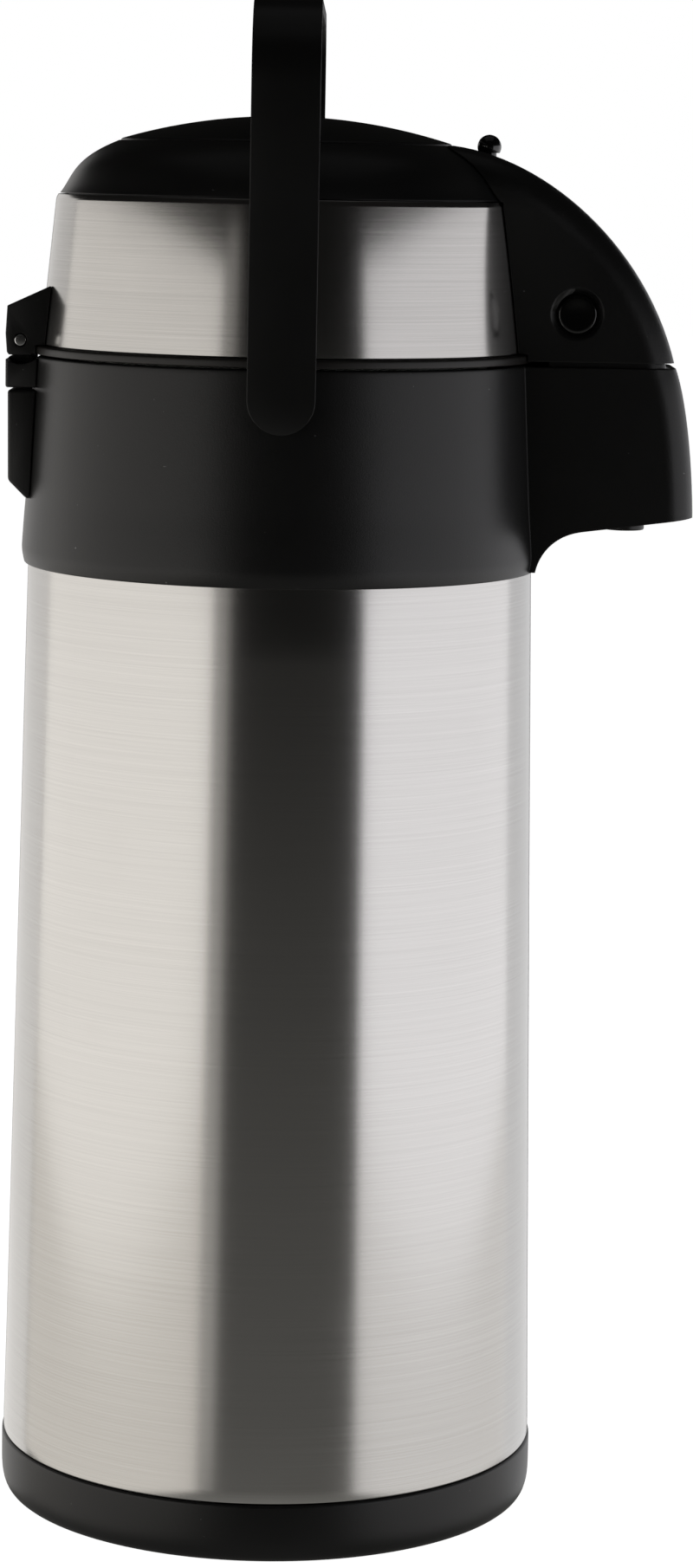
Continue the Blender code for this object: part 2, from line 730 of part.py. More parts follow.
def collar_envelope(name, play):
    """The turned outside of the collar, carried on past its top edge."""
    return turned(
        name,
        [
            (0.0, COLLAR_TOP + 30.0 * MM),
            (COLLAR_TOP_RADIUS + play, COLLAR_TOP + 30.0 * MM),
            (COLLAR_TOP_RADIUS + 0.1 * MM + play, COLLAR_TOP - 1.9 * MM),
            (COLLAR_RADIUS - 1.1 * MM + play, COLLAR_BOTTOM + 18.0 * MM),
            (COLLAR_RADIUS - 0.5 * MM + play, COLLAR_BOTTOM + 11.9 * MM),
            (COLLAR_RADIUS + play, COLLAR_BOTTOM + 3.9 * MM),
            (COLLAR_RADIUS - 0.8 * MM + play, COLLAR_BOTTOM),
            (0.0, COLLAR_BOTTOM),
        ],
    )


def build_collar():
    collar = collar_envelope("collar", 0.0)
    far = BEAK_REACH + 20.0 * MM
    join(collar, beak_blank("collar_beak"))
    above = box("collar_top_cut", (-far, -far, COLLAR_TOP), (far, far, STRAP_TOP))
    hollow_radius = COLLAR_TOP_RADIUS - COLLAR_WALL
    skirt = shell_radius(COLLAR_BOTTOM) + GAP
    step = COLLAR_BOTTOM + SHELL_TUCK + 8.0 * MM
    hollow = turned(
        "collar_hollow",
        [
            (0.0, COLLAR_TOP + 10.0 * MM),
            (hollow_radius - 0.2 * MM, COLLAR_TOP + 10.0 * MM),
            (hollow_radius, DECK_TOP),
            (DECK_HOLE, DECK_TOP),
            (DECK_HOLE, DECK_BOTTOM),
            (hollow_radius + 0.4 * MM, DECK_BOTTOM),
            (COLLAR_RADIUS - 1.6 * MM - COLLAR_WALL, step + 1.5 * MM),
            (skirt, step),
            (skirt, COLLAR_BOTTOM - 10.0 * MM),
            (0.0, COLLAR_BOTTOM - 10.0 * MM),
        ],
    )
    trough = beak_hollow(
        "collar_trough", COLLAR_BOTTOM + 5.0 * MM, COLLAR_TOP + 20.0 * MM, COLLAR_RADIUS + BEAK_WALL
    )
    room = BEAK_HALF_WIDTH - BEAK_WALL - 0.6 * MM
    passage = box(
        "collar_passage",
        (hollow_radius - 12.0 * MM, -room, DECK_TOP + 0.5 * MM),
        (COLLAR_RADIUS + BEAK_WALL + 4.0 * MM, room, COLLAR_TOP + 10.0 * MM),
    )
    spout = rod(
        "collar_spout_hole",
        (SPOUT_X, 0.0, COLLAR_BOTTOM),
        (SPOUT_X, 0.0, COLLAR_TOP),
        SPOUT_RADIUS + GAP,
    )
    sweep = HINGE_HALF_WIDTH + RUN
    relief = rod("collar_hinge_relief", (HINGE_X, -sweep, HINGE_Z), (HINGE_X, sweep, HINGE_Z), CHEEK_SWEEP)
    across = STRAP_OUTER_Y
    pivots = rod(
        "collar_pivot_bore",
        (HANDLE_X, -across, HANDLE_Z),
        (HANDLE_X, across, HANDLE_Z),
        BUSH_RADIUS + GAP,
    )
    cut(collar, above, hollow, trough, passage, spout, relief, pivots)
    place(collar, BLACK, 0.5)


# ---------------------------------------------------------------- pouring parts


def build_pouring_parts():
    plug = MOUTH_RADIUS - 1.0 * MM
    stopper = turned(
        "stopper",
        [
            (NECK_RADIUS - GAP, FLANGE_TOP),
            (NECK_RADIUS - GAP, FLANGE_BOTTOM),
            (plug, FLANGE_BOTTOM),
            (plug - 1.0 * MM, FLANGE_BOTTOM - 11.0 * MM),
            (TUBE_RADIUS + GAP, FLANGE_BOTTOM - 11.0 * MM),
            (TUBE_RADIUS + GAP, FLANGE_TOP),
        ],
        MID_STEPS,
    )
    air = rod(
        "stopper_air_hole",
        (AIR_PORT_X, 0.0, FLANGE_BOTTOM - 20.0 * MM),
        (AIR_PORT_X, 0.0, FLANGE_TOP + 5.0 * MM),
        AIR_PORT_RADIUS,
    )
    cut(stopper, air)
    place(stopper, (0.75, 0.74, 0.7), 0.5)

    tube_low = SHELL_START + FLASK_FLOOR_RISE + FLASK_WALL + TUBE_CLEARANCE
    place(
        turned(
            "dip_tube",
            [
                (TUBE_RADIUS, FLANGE_TOP),
                (TUBE_RADIUS, tube_low),
                (TUBE_BORE, tube_low + 0.5 * MM),
                (TUBE_BORE, FLANGE_TOP),
            ],
            SMALL_STEPS,
        ),
        (0.8, 0.8, 0.76),
        0.35,
    )

    low = FLANGE_TOP + GAP
    end = COLLAR_TOP - BEAK_NOSE_DEPTH - BEAK_UNDERSIDE_FALL + 1.6 * MM
    rise = [(0.0, low)] + arc((PIPE_BEND, PIPE_HEIGHT - PIPE_BEND), PIPE_BEND, 180, 90, 6)
    fall = arc((SPOUT_X - SPOUT_BEND, PIPE_HEIGHT - SPOUT_BEND), SPOUT_BEND, 90, 0, 8)
    route = [(x, 0.0, z) for x, z in rise + fall + [(SPOUT_X, end)]]
    pipe = wire("outlet_pipe", route, PIPE_RADIUS, 4)
    longer = [(0.0, 0.0, low - 5.0 * MM)] + route[1:-1] + [(SPOUT_X, 0.0, end - 5.0 * MM)]
    cut(pipe, wire("outlet_bore", longer, PIPE_BORE, 3))
    place(pipe, (0.8, 0.8, 0.76), 0.35)

    floor = end + 5.6 * MM
    place(
        turned_at(
            "spout_nozzle",
            [
                (SPOUT_RADIUS + 2.2 * MM, floor + 1.6 * MM),
                (SPOUT_RADIUS + 2.2 * MM, floor),
                (SPOUT_RADIUS, floor),
                (SPOUT_RADIUS, end - SPOUT_DROP + 0.6 * MM),
                (SPOUT_RADIUS - 0.4 * MM, end - SPOUT_DROP),
                (PIPE_RADIUS + GAP, end - SPOUT_DROP),
                (PIPE_RADIUS + GAP, floor + 1.6 * MM),
            ],
            (SPOUT_X, 0.0),
        ),
        BLACK,
        0.35,
    )


def turned_at(name, profile, centre, steps=SMALL_STEPS):
    made = turned(name, profile, steps)
    made.data.transform(Matrix.Translation((*centre, 0.0)))
    return made


# ---------------------------------------------------------------- hinge


def hinge_outline(points):
    """Points given behind and above the pin axis, as (x, z)."""
    return [(HINGE_X - back, HINGE_Z + up) for back, up in points]


def build_hinge():
    wide = HINGE_HALF_WIDTH
    inner = HINGE_X + BEAK_ROOT_RADIUS
    lug = prism(
        "hinge_lug",
        hinge_outline(
            [
                (3.9 * MM, 10.2 * MM),
                (4.4 * MM, 2.0 * MM),
                (4.0 * MM, -3.6 * MM),
                (3.4 * MM, -4.4 * MM),
                (-3.5 * MM, -4.4 * MM),
                (-3.5 * MM, -4.0 * MM),
                (inner, -4.0 * MM),
                (inner, LUG_RISE),
                (-8.7 * MM, LUG_RISE),
            ]
        ),
        "Y",
        -wide,
        wide,
    )
    notch = KNUCKLE_HALF_WIDTH + RUN
    swing = KNUCKLE_RADIUS + RUN
    cut(
        lug,
        lid_envelope("lug_lid_face", GAP),
        rod("lug_knuckle_room", (HINGE_X, -notch, HINGE_Z), (HINGE_X, notch, HINGE_Z), swing),
        box(
            "lug_knuckle_slot",
            (HINGE_X - 20.0 * MM, -notch, HINGE_Z - 20.0 * MM),
            (HINGE_X + swing, notch, HINGE_Z + 0.2 * MM),
        ),
        rod(
            "lug_pin_bore",
            (HINGE_X, -wide - 5.0 * MM, HINGE_Z),
            (HINGE_X, wide + 5.0 * MM, HINGE_Z),
            PIN_RADIUS + GAP,
            TINY_STEPS,
        ),
    )
    place(lug, BLACK, 0.45)
    place(
        rod(
            "hinge_pin",
            (HINGE_X, -wide - 0.3 * MM, HINGE_Z),
            (HINGE_X, wide + 0.3 * MM, HINGE_Z),
            PIN_RADIUS,
            TINY_STEPS,
        ),
        (0.7, 0.7, 0.7),
        0.25,
        1.0,
    )

    top = COLLAR_TOP - 0.5 * MM
    block_low = top - BLOCK_HEIGHT + GAP
    behind = HINGE_X - 3.3 * MM
    block = box("hinge_block", (behind, -wide, block_low), (HINGE_X + 12.0 * MM, wide, top))
    knuckle = rod(
        "block_knuckle",
        (HINGE_X, -KNUCKLE_HALF_WIDTH, HINGE_Z),
        (HINGE_X, KNUCKLE_HALF_WIDTH, HINGE_Z),
        KNUCKLE_RADIUS,
    )
    web = box(
        "block_web",
        (HINGE_X - 3.0 * MM, -KNUCKLE_HALF_WIDTH, top - 3.0 * MM),
        (HINGE_X + 2.0 * MM, KNUCKLE_HALF_WIDTH, HINGE_Z),
    )
    join(block, knuckle, web)
    cuts = [collar_envelope("block_collar_face", GAP)]
    for side, name in ((-1, "near"), (1, "far")):
        cuts.append(
            rod(
                "block_sweep_" + name,
                (HINGE_X, side * (KNUCKLE_HALF_WIDTH + 0.01 * MM), HINGE_Z),
                (HINGE_X, side * (wide + 5.0 * MM), HINGE_Z),
                CHEEK_SWEEP,
            )
        )
    cuts.append(
        rod(
            "block_pin_bore",
            (HINGE_X, -wide, HINGE_Z),
            (HINGE_X, wide, HINGE_Z),
            PIN_RADIUS + GAP,
            TINY_STEPS,
        )
    )
    cut(block, *cuts)
    place(block, BLACK, 0.45)

    cover_top = block_low - 0.7 * MM
    cover_low = cover_top - COVER_HEIGHT
    cover = prism(
        "hinge_cover",
        [
            (HINGE_X + 12.0 * MM, cover_top),
            (behind + 0.7 * MM, cover_top),
            (behind + 0.9 * MM, cover_low + 5.5 * MM),
            (behind + 6.4 * MM, cover_low),
            (HINGE_X + 12.0 * MM, cover_low),
        ],
        "Y",
        -wide,
        wide,
    )
    cut(cover, collar_envelope("cover_collar_face", GAP))
    place(cover, BLACK, 0.45)


# ---------------------------------------------------------------- lid


def shoulder_curve():
    """The black shoulder of the lid, from its hole down to the band."""
    return bezier(
        (PLATE_HOLE, SHOULDER_TOP),
        (PLATE_HOLE + 14.0 * MM, SHOULDER_TOP - SHOULDER_HEIGHT * 0.36),
        (SHOULDER_RADIUS - 3.9 * MM, SHOULDER_BOTTOM + 5.0 * MM),
        (SHOULDER_RADIUS, SHOULDER_BOTTOM),
        8,
    )


def shoulder_at(radius):
    """Height of the shoulder's outer face at a radius."""
    points = shoulder_curve()
    for (r0, z0), (r1, z1) in zip(points, points[1:]):
        if r0 <= radius <= r1:
            return z0 + (z1 - z0) * (radius - r0) / (r1 - r0)
    return SHOULDER_TOP


def lock_slot(name, low, high, radius=LOCK_STEM_RADIUS):
    """The arc-shaped room that the lock's stem or head sweeps."""
    half = radius + RUN
    reach = (LOCK_TRAVEL / 2) + half / LOCK_CIRCLE
    span = (-reach * 180 / pi, reach * 180 / pi)
    outline = arc((0.0, 0.0), LOCK_CIRCLE + half, span[0], span[1], 6)
    outline += arc((0.0, 0.0), LOCK_CIRCLE - half, span[1], span[0], 6)
    return prism(name, outline, "Z", low, high)


LID_SCREWS = screw_places(LID_SCREW_CIRCLE, 4, 45.0)


def build_lid():
    wall_top = BAND_TOP - 1.0 * MM
    outer_low = BAND_RADIUS - BAND_WALL - GAP
    outer_high = BAND_TOP_RADIUS - BAND_WALL - GAP
    web_top = LID_BOTTOM + RIM_HEIGHT
    lid = turned(
        "lid_body",
        [
            (outer_high, wall_top),
            (outer_low, web_top),
            (RIM_RADIUS - 0.3 * MM, web_top),
            (RIM_RADIUS, web_top - 0.3 * MM),
            (RIM_RADIUS, LID_BOTTOM),
            (PUMP_BORE, LID_BOTTOM),
            (PUMP_BORE, web_top),
            (outer_low - LID_WALL - 0.3 * MM, web_top + 0.2 * MM),
            (outer_high - LID_WALL, wall_top),
        ],
    )
    notch = KNUCKLE_HALF_WIDTH + RUN
    swing = KNUCKLE_RADIUS + RUN
    cuts = [rod("lid_knuckle_room", (HINGE_X, -notch, HINGE_Z), (HINGE_X, notch, HINGE_Z), swing)]
    for i, (x, y) in enumerate(LID_SCREWS):
        cuts.append(
            rod(
                f"lid_hole_{i}",
                (x, y, LID_BOTTOM - 5.0 * MM),
                (x, y, web_top + 5.0 * MM),
                SCREW_SHANK + SCREW_PLAY,
                TINY_STEPS,
            )
        )
    cut(lid, *cuts)
    place(lid, BLACK, 0.45)

    place(
        turned(
            "lid_band",
            [
                (BAND_TOP_RADIUS, BAND_TOP),
                (BAND_RADIUS, BAND_BOTTOM),
                (BAND_RADIUS - BAND_WALL, BAND_BOTTOM),
                (BAND_TOP_RADIUS - BAND_WALL, BAND_TOP),
            ],
        ),
        STEEL,
        0.3,
        1.0,
    )

    lip = outer_high - LID_WALL - GAP
    outer = shoulder_curve()
    inner = [(r - 0.3 * SHOULDER_WALL, z - SHOULDER_WALL) for r, z in outer[3:-1]]
    sleeve_low = PLATE_EDGE - PLATE_SKIRT - PUMP_TRAVEL + 3.0 * MM
    shoulder = turned(
        "lid_shoulder",
        outer
        + [(lip, SHOULDER_BOTTOM), (lip, SHOULDER_BOTTOM - 6.0 * MM)]
        + [(lip - 2.0 * MM, SHOULDER_BOTTOM - 6.0 * MM)]
        + [(lip - 2.0 * MM, inner[-1][1] - 1.0 * MM)]
        + [point for point in reversed(inner) if SLEEVE_RADIUS + 1.0 * MM < point[0] < lip - 2.0 * MM]
        + [(SLEEVE_RADIUS, inner[0][1]), (SLEEVE_RADIUS, sleeve_low)]
        + [(PLATE_HOLE, sleeve_low)],
    )
    cut(shoulder, lock_slot("shoulder_lock_slot", BAND_BOTTOM, STRAP_TOP))
    place(shoulder, BLACK, 0.45)


def build_beak_cover():
    cover = beak_blank("beak_cover")
    far = BEAK_REACH + 20.0 * MM
    below = box("beak_below", (-far, -far, 0.0), (far, far, BEAK_SPLIT_TOP))
    hollow = beak_hollow("beak_room", BEAK_SPLIT_TOP - 10.0 * MM, STRAP_TOP, 0.0)
    cuts = [below, lid_envelope("beak_lid_face", GAP), hollow]
    cuts.append(lock_slot("beak_lock_slot", BAND_BOTTOM + 20.0 * MM, STRAP_TOP))
    cuts.append(lock_slot("beak_lock_room", LOCK_NECK, STRAP_TOP, LOCK_HEAD_RADIUS))
    wide = BEAK_HALF_WIDTH
    for side, name in ((-1, "near"), (1, "far")):
        cuts.append(
            rod(
                "beak_button_hole_" + name,
                (BUTTON_X, side * 8.0 * MM, BUTTON_Z),
                (BUTTON_X, side * (wide + 4.0 * MM), BUTTON_Z),
                BUTTON_RADIUS + RUN,
            )
        )
        cuts.append(
            rod(
                "beak_button_dish_" + name,
                (BUTTON_X, side * (wide - 1.1 * MM), BUTTON_Z),
                (BUTTON_X, side * (wide + 0.4 * MM), BUTTON_Z),
                BUTTON_RADIUS + 0.4 * MM,
                end_radius=BUTTON_DISH + 0.3 * MM,
            )
        )
    cut(cover, *cuts)
    place(cover, BLACK, 0.4)


def build_buttons():
    inner_wall = BEAK_HALF_WIDTH - BEAK_WALL
    face = BEAK_HALF_WIDTH - BUTTON_SUNK
    for side, name in ((-1, "release_button_right"), (1, "release_button_left")):
        button = rod(
            name,
            (BUTTON_X, side * (inner_wall - 4.0 * MM), BUTTON_Z),
            (BUTTON_X, side * face, BUTTON_Z),
            BUTTON_RADIUS,
        )
        flange = rod(
            name + "_flange",
            (BUTTON_X, side * (inner_wall - 2.4 * MM), BUTTON_Z),
            (BUTTON_X, side * (inner_wall - RUN), BUTTON_Z),
            BUTTON_RADIUS + 1.4 * MM,
        )
        arm_low = COLLAR_TOP - 7.0 * MM
        arm = [sorted((side * (inner_wall - 5.6 * MM), side * (inner_wall - 3.2 * MM)))]
        stalk = box(
            name + "_arm",
            (BUTTON_X - 2.5 * MM, arm[0][0], arm_low),
            (BUTTON_X + 2.5 * MM, arm[0][1], BUTTON_Z + 3.0 * MM),
        )
        nose = sorted((side * (inner_wall - 5.0 * MM), side * (inner_wall - 1.2 * MM)))
        hook = box(
            name + "_hook",
            (BUTTON_X - 2.5 * MM, nose[0], arm_low),
            (BUTTON_X + 2.5 * MM, nose[1], arm_low + 2.4 * MM),
        )
        join(button, flange, stalk, hook)
        place(button, (0.01, 0.01, 0.011), 0.12)


def build_lock():
    angle = -LOCK_TRAVEL / 2
    top = SHOULDER_TOP + LOCK_HEAD_TOP
    knob = turned_at(
        "lock_knob",
        [(0.0, top)]
        + arc((0.0, top - LOCK_HEAD_RADIUS), LOCK_HEAD_RADIUS, 60, 0, 4)
        + [(LOCK_HEAD_RADIUS, LOCK_NECK + 1.0 * MM), (LOCK_STEM_RADIUS, LOCK_NECK + RUN)]
        + [(LOCK_STEM_RADIUS, SHOULDER_BOTTOM - 1.0 * MM), (0.0, SHOULDER_BOTTOM - 1.0 * MM)],
        (LOCK_CIRCLE, 0.0),
    )
    shoe = box(
        "lock_shoe",
        (SLEEVE_RADIUS + 2.0 * MM, -4.0 * MM, SHOULDER_BOTTOM - 1.6 * MM),
        (LOCK_CIRCLE + 1.2 * MM, 4.0 * MM, SHOULDER_BOTTOM + 0.2 * MM),
    )
    for obj in (knob, shoe):
        obj.data.transform(Matrix.Rotation(angle, 4, "Z"))
    join(knob, shoe)
    place(knob, (0.012, 0.012, 0.013), 0.3)


# ---------------------------------------------------------------- pump


def plate_height(radius):
    """Height of the domed push plate at a radius."""
    ball = (PLATE_RADIUS**2 + PLATE_CROWN**2) / (2 * PLATE_CROWN)
    return PLATE_TOP - ball + sqrt(ball**2 - radius**2)


def build_pump():
    steps = 7
    radii = [PLATE_RADIUS * i / steps for i in range(steps + 1)]
    dome = [(r, plate_height(r)) for r in radii]
    under = [(r, plate_height(r) - PLATE_WALL) for r in reversed(radii[2:-1])]
    skirt_low = PLATE_EDGE - PLATE_SKIRT
    boss = 9.0 * MM
    place(
        turned(
            "push_plate",
            dome
            + [(PLATE_RADIUS, skirt_low), (PLATE_RADIUS - PLATE_WALL, skirt_low)]
            + [(PLATE_RADIUS - PLATE_WALL, PLATE_EDGE - PLATE_WALL)]
            + under
            + [(boss, plate_height(boss) - PLATE_WALL), (boss, PISTON_TOP + GAP)]
            + [(0.0, PISTON_TOP + GAP)],
            MID_STEPS,
        ),
        BLACK,
        0.4,
    )
    valve_hole = 3.0 * MM
    hub = boss + 5.0 * MM
    piston = turned(
        "pump_piston",
        [
            (hub, PISTON_TOP),
            (PISTON_RADIUS, PISTON_TOP),
            (PISTON_RADIUS, PISTON_BOTTOM),
            (valve_hole, PISTON_BOTTOM),
            (valve_hole, PISTON_TOP),
        ],
        MID_STEPS,
    )
    place(piston, (0.5, 0.5, 0.48), 0.5)
    place(
        turned(
            "intake_valve",
            [
                (0.0, PISTON_TOP - 0.4 * MM),
                (valve_hole - GAP, PISTON_TOP - 0.4 * MM),
                (valve_hole - GAP, PISTON_BOTTOM - GAP),
                (8.0 * MM, PISTON_BOTTOM - GAP),
                (8.0 * MM, PISTON_BOTTOM - 1.5 * MM),
                (0.0, PISTON_BOTTOM - 1.5 * MM),
            ],
            SMALL_STEPS,
        ),
        (0.5, 0.1, 0.06),
        0.6,
    )
    build_bellows()
    build_spring()
    build_pump_base()


def build_bellows():
    low = PUMP_BASE_TOP + GAP
    high = PISTON_BOTTOM - GAP
    pitch = (high - low) / BELLOWS_PLEATS
    outer = []
    for i in range(BELLOWS_PLEATS):
        top = high - pitch * i
        outer += [(BELLOWS_RADIUS - BELLOWS_FOLD, top), (BELLOWS_RADIUS, top - pitch / 2)]
    outer.append((BELLOWS_RADIUS - BELLOWS_FOLD, low))
    inner = [(r - BELLOWS_SKIN, z) for r, z in reversed(outer)]
    place(turned("bellows", outer + inner, 32), (0.35, 0.35, 0.34), 0.7)


def build_spring():
    low = PUMP_BASE_TOP + GAP + SPRING_WIRE
    high = PISTON_BOTTOM - GAP - SPRING_WIRE
    per_turn = 14
    count = SPRING_TURNS * per_turn
    points = []
    for i in range(count + 1):
        turn = 2 * pi * i / per_turn
        points.append((SPRING_RADIUS * cos(turn), SPRING_RADIUS * sin(turn), low + (high - low) * i / count))
    place(wire("pump_spring", points, SPRING_WIRE, 1), (0.6, 0.6, 0.6), 0.3, 1.0)


def build_pump_base():
    base = turned(
        "pump_base",
        [
            (0.0, PUMP_BASE_TOP),
            (PUMP_BASE_RADIUS, PUMP_BASE_TOP),
            (PUMP_BASE_RADIUS, PUMP_BASE_BOTTOM),
            (0.0, PUMP_BASE_BOTTOM),
        ],
        MID_STEPS,
    )
    port_radius = AIR_PORT_RADIUS + AIR_PORT_WALL
    port_low = FLANGE_TOP + GAP + AIR_SEAL_HEIGHT + GAP
    port = rod("air_port", (AIR_PORT_X, 0.0, port_low), (AIR_PORT_X, 0.0, PUMP_BASE_TOP - GAP), port_radius)
    join(base, port)
    cuts = [
        rod(
            "air_port_bore",
            (AIR_PORT_X, 0.0, port_low - 5.0 * MM),
            (AIR_PORT_X, 0.0, PUMP_BASE_TOP + 5.0 * MM),
            AIR_PORT_RADIUS,
        )
    ]
    for i, (x, y) in enumerate(LID_SCREWS):
        cuts.append(
            rod(
                f"pump_base_hole_{i}",
                (x, y, PUMP_BASE_BOTTOM - 5.0 * MM),
                (x, y, PUMP_BASE_TOP + 5.0 * MM),
                SCREW_SHANK + SCREW_PLAY,
                TINY_STEPS,
            )
        )
        head = 1.8 * MM
        screw_up(
            f"lid_screw_{i + 1}",
            x,
            y,
            PUMP_BASE_BOTTOM - GAP - head,
            head,
            SCREW_HEAD - 0.4 * MM,
            SCREW_SHANK,
            LID_BOTTOM + RIM_HEIGHT + 4.0 * MM,
        )
    cut(base, *cuts)
    place(base, (0.6, 0.6, 0.57), 0.5)
    seal_low = FLANGE_TOP + GAP
    place(
        turned_at(
            "air_seal",
            [
                (port_radius, seal_low + AIR_SEAL_HEIGHT),
                (port_radius + 0.6 * MM, seal_low),
                (AIR_PORT_RADIUS + 0.4 * MM, seal_low),
                (AIR_PORT_RADIUS + 0.4 * MM, seal_low + AIR_SEAL_HEIGHT),
            ],
            (AIR_PORT_X, 0.0),
        ),
        (0.6, 0.6, 0.58),
        0.6,
    )


# ---------------------------------------------------------------- handle


def strap_path(half, top, corner):
    """Half of the arch outline in (y, z), from the foot of one leg over the crown to the other."""
    low = HANDLE_Z - STRAP_WIDTH
    points = [(half, low)] + arc((half - corner, top - corner), corner, 0, 90, 8)
    return points + [(-y, z) for y, z in reversed(points)]


def build_handle():
    half = STRAP_WIDTH / 2
    outer = strap_path(STRAP_OUTER_Y, STRAP_TOP, STRAP_CORNER)
    inner = strap_path(STRAP_INNER_Y, STRAP_TOP - STRAP_THICKNESS, STRAP_CORNER - STRAP_THICKNESS)
    strap = prism("handle_strap", outer + inner[::-1], "X", HANDLE_X - half, HANDLE_X + half)
    round_foot = arc((HANDLE_X, HANDLE_Z), half + 0.01 * MM, 180, 360, 12)
    side_view = [(HANDLE_X - half - 0.01 * MM, STRAP_TOP + 5.0 * MM)] + round_foot
    side_view += [(HANDLE_X + half + 0.01 * MM, STRAP_TOP + 5.0 * MM)]
    reach = STRAP_OUTER_Y + 5.0 * MM
    combine(strap, "INTERSECT", prism("strap_side_view", side_view, "Y", -reach, reach))
    for side, name in ((-1, "right"), (1, "left")):
        tip_end = STRAP_INNER_Y + BUSH_TIP_LENGTH
        cut(
            strap,
            rod(
                "strap_socket_" + name,
                (HANDLE_X, side * (STRAP_INNER_Y - 3.0 * MM), HANDLE_Z),
                (HANDLE_X, side * (tip_end + GAP), HANDLE_Z),
                BUSH_TIP + GAP,
            ),
        )
        flange_low = COLLAR_TOP_RADIUS + 1.1 * MM
        bush = rod(
            "handle_bush_" + name,
            (HANDLE_X, side * (COLLAR_TOP_RADIUS - COLLAR_WALL - 2.0 * MM), HANDLE_Z),
            (HANDLE_X, side * (flange_low + 0.5 * MM), HANDLE_Z),
            BUSH_RADIUS,
        )
        flange = rod(
            "bush_flange_" + name,
            (HANDLE_X, side * flange_low, HANDLE_Z),
            (HANDLE_X, side * (STRAP_INNER_Y - GAP), HANDLE_Z),
            BUSH_FLANGE,
        )
        tip = rod(
            "bush_tip_" + name,
            (HANDLE_X, side * flange_low, HANDLE_Z),
            (HANDLE_X, side * tip_end, HANDLE_Z),
            BUSH_TIP,
        )
        keeper_high = sqrt((COLLAR_TOP_RADIUS - COLLAR_WALL) ** 2 - (BUSH_FLANGE - 1.0 * MM) ** 2)
        keeper = rod(
            "bush_keeper_" + name,
            (HANDLE_X, side * (keeper_high - 2.6 * MM), HANDLE_Z),
            (HANDLE_X, side * (keeper_high - 0.8 * MM), HANDLE_Z),
            BUSH_FLANGE - 1.0 * MM,
        )
        join(bush, flange, tip, keeper)
        place(bush, (0.6, 0.6, 0.58), 0.5)
    place(strap, BLACK, 0.4)


# ---------------------------------------------------------------- assembly


def hang_on(name, location, parent, pieces):
    """An empty on a joint's axis, and the pieces that move with it."""
    empty = bpy.data.objects.new(name, None)
    empty.empty_display_size = 10.0 * MM
    PARTS.objects.link(empty)
    empty.location = location
    if parent:
        empty.parent = parent
        empty.location = Vector(location) - parent.matrix_world.translation
    bpy.context.view_layer.update()
    for piece in pieces:
        obj = bpy.data.objects[piece]
        obj.parent = empty
        obj.matrix_parent_inverse = empty.matrix_world.inverted()
    return empty


def assemble():
    screws = [f"lid_screw_{i + 1}" for i in range(len(LID_SCREWS))]
    lid = hang_on(
        "lid_axis",
        (HINGE_X, 0.0, HINGE_Z),
        None,
        ["lid_body", "lid_band", "lid_shoulder", "beak_cover", "hinge_lug", "hinge_pin"]
        + ["pump_base", "air_seal", "bellows", "pump_spring"]
        + screws,
    )
    hang_on("pump_axis", (0.0, 0.0, PLATE_EDGE), lid, ["push_plate", "pump_piston", "intake_valve"])
    hang_on("lock_axis", (0.0, 0.0, SHOULDER_TOP), lid, ["lock_knob"])
    for side, name in ((-1, "right"), (1, "left")):
        at = (BUTTON_X, side * BEAK_HALF_WIDTH, BUTTON_Z)
        hang_on("button_axis_" + name, at, lid, ["release_button_" + name])
    bushes = ["handle_bush_right", "handle_bush_left"]
    fold = hang_on("handle_fold_axis", (HANDLE_X, 0.0, HANDLE_Z), None, bushes)
    hang_on("handle_swing_axis", (HANDLE_X, 0.0, HANDLE_Z), fold, ["handle_strap"])


build_base()
build_shell()
build_flask()
build_collar()
build_pouring_parts()
build_hinge()
build_lid()
build_beak_cover()
build_buttons()
build_lock()
build_pump()
build_handle()
assemble()
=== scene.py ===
import json
from math import cos, pi, radians, sin, sqrt

import bpy
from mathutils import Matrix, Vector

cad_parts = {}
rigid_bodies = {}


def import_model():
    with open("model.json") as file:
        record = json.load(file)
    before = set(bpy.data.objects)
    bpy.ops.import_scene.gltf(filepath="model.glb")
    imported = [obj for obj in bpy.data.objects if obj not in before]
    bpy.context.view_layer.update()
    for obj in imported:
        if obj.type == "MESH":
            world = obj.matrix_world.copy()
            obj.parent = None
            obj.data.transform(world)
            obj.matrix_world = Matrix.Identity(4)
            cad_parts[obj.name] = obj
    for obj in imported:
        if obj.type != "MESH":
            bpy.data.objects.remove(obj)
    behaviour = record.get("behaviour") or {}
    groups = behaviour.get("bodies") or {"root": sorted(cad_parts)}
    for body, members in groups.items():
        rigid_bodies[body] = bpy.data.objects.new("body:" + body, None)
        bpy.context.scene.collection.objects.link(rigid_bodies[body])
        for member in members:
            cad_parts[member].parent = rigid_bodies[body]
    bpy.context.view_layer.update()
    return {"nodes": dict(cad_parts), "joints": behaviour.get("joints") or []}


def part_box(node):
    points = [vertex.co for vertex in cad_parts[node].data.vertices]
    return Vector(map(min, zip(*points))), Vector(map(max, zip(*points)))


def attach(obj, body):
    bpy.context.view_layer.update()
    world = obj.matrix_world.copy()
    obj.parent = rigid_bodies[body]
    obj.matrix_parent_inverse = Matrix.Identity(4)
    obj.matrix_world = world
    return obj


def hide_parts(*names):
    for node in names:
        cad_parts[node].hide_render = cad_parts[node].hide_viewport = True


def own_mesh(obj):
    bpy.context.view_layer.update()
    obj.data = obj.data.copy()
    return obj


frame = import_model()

mm = 0.001


# selecting and finishing, the same for every piece

def deselectAll():
    if bpy.context.mode != "OBJECT":
        bpy.ops.object.mode_set(mode="OBJECT")
    bpy.ops.object.select_all(action="DESELECT")


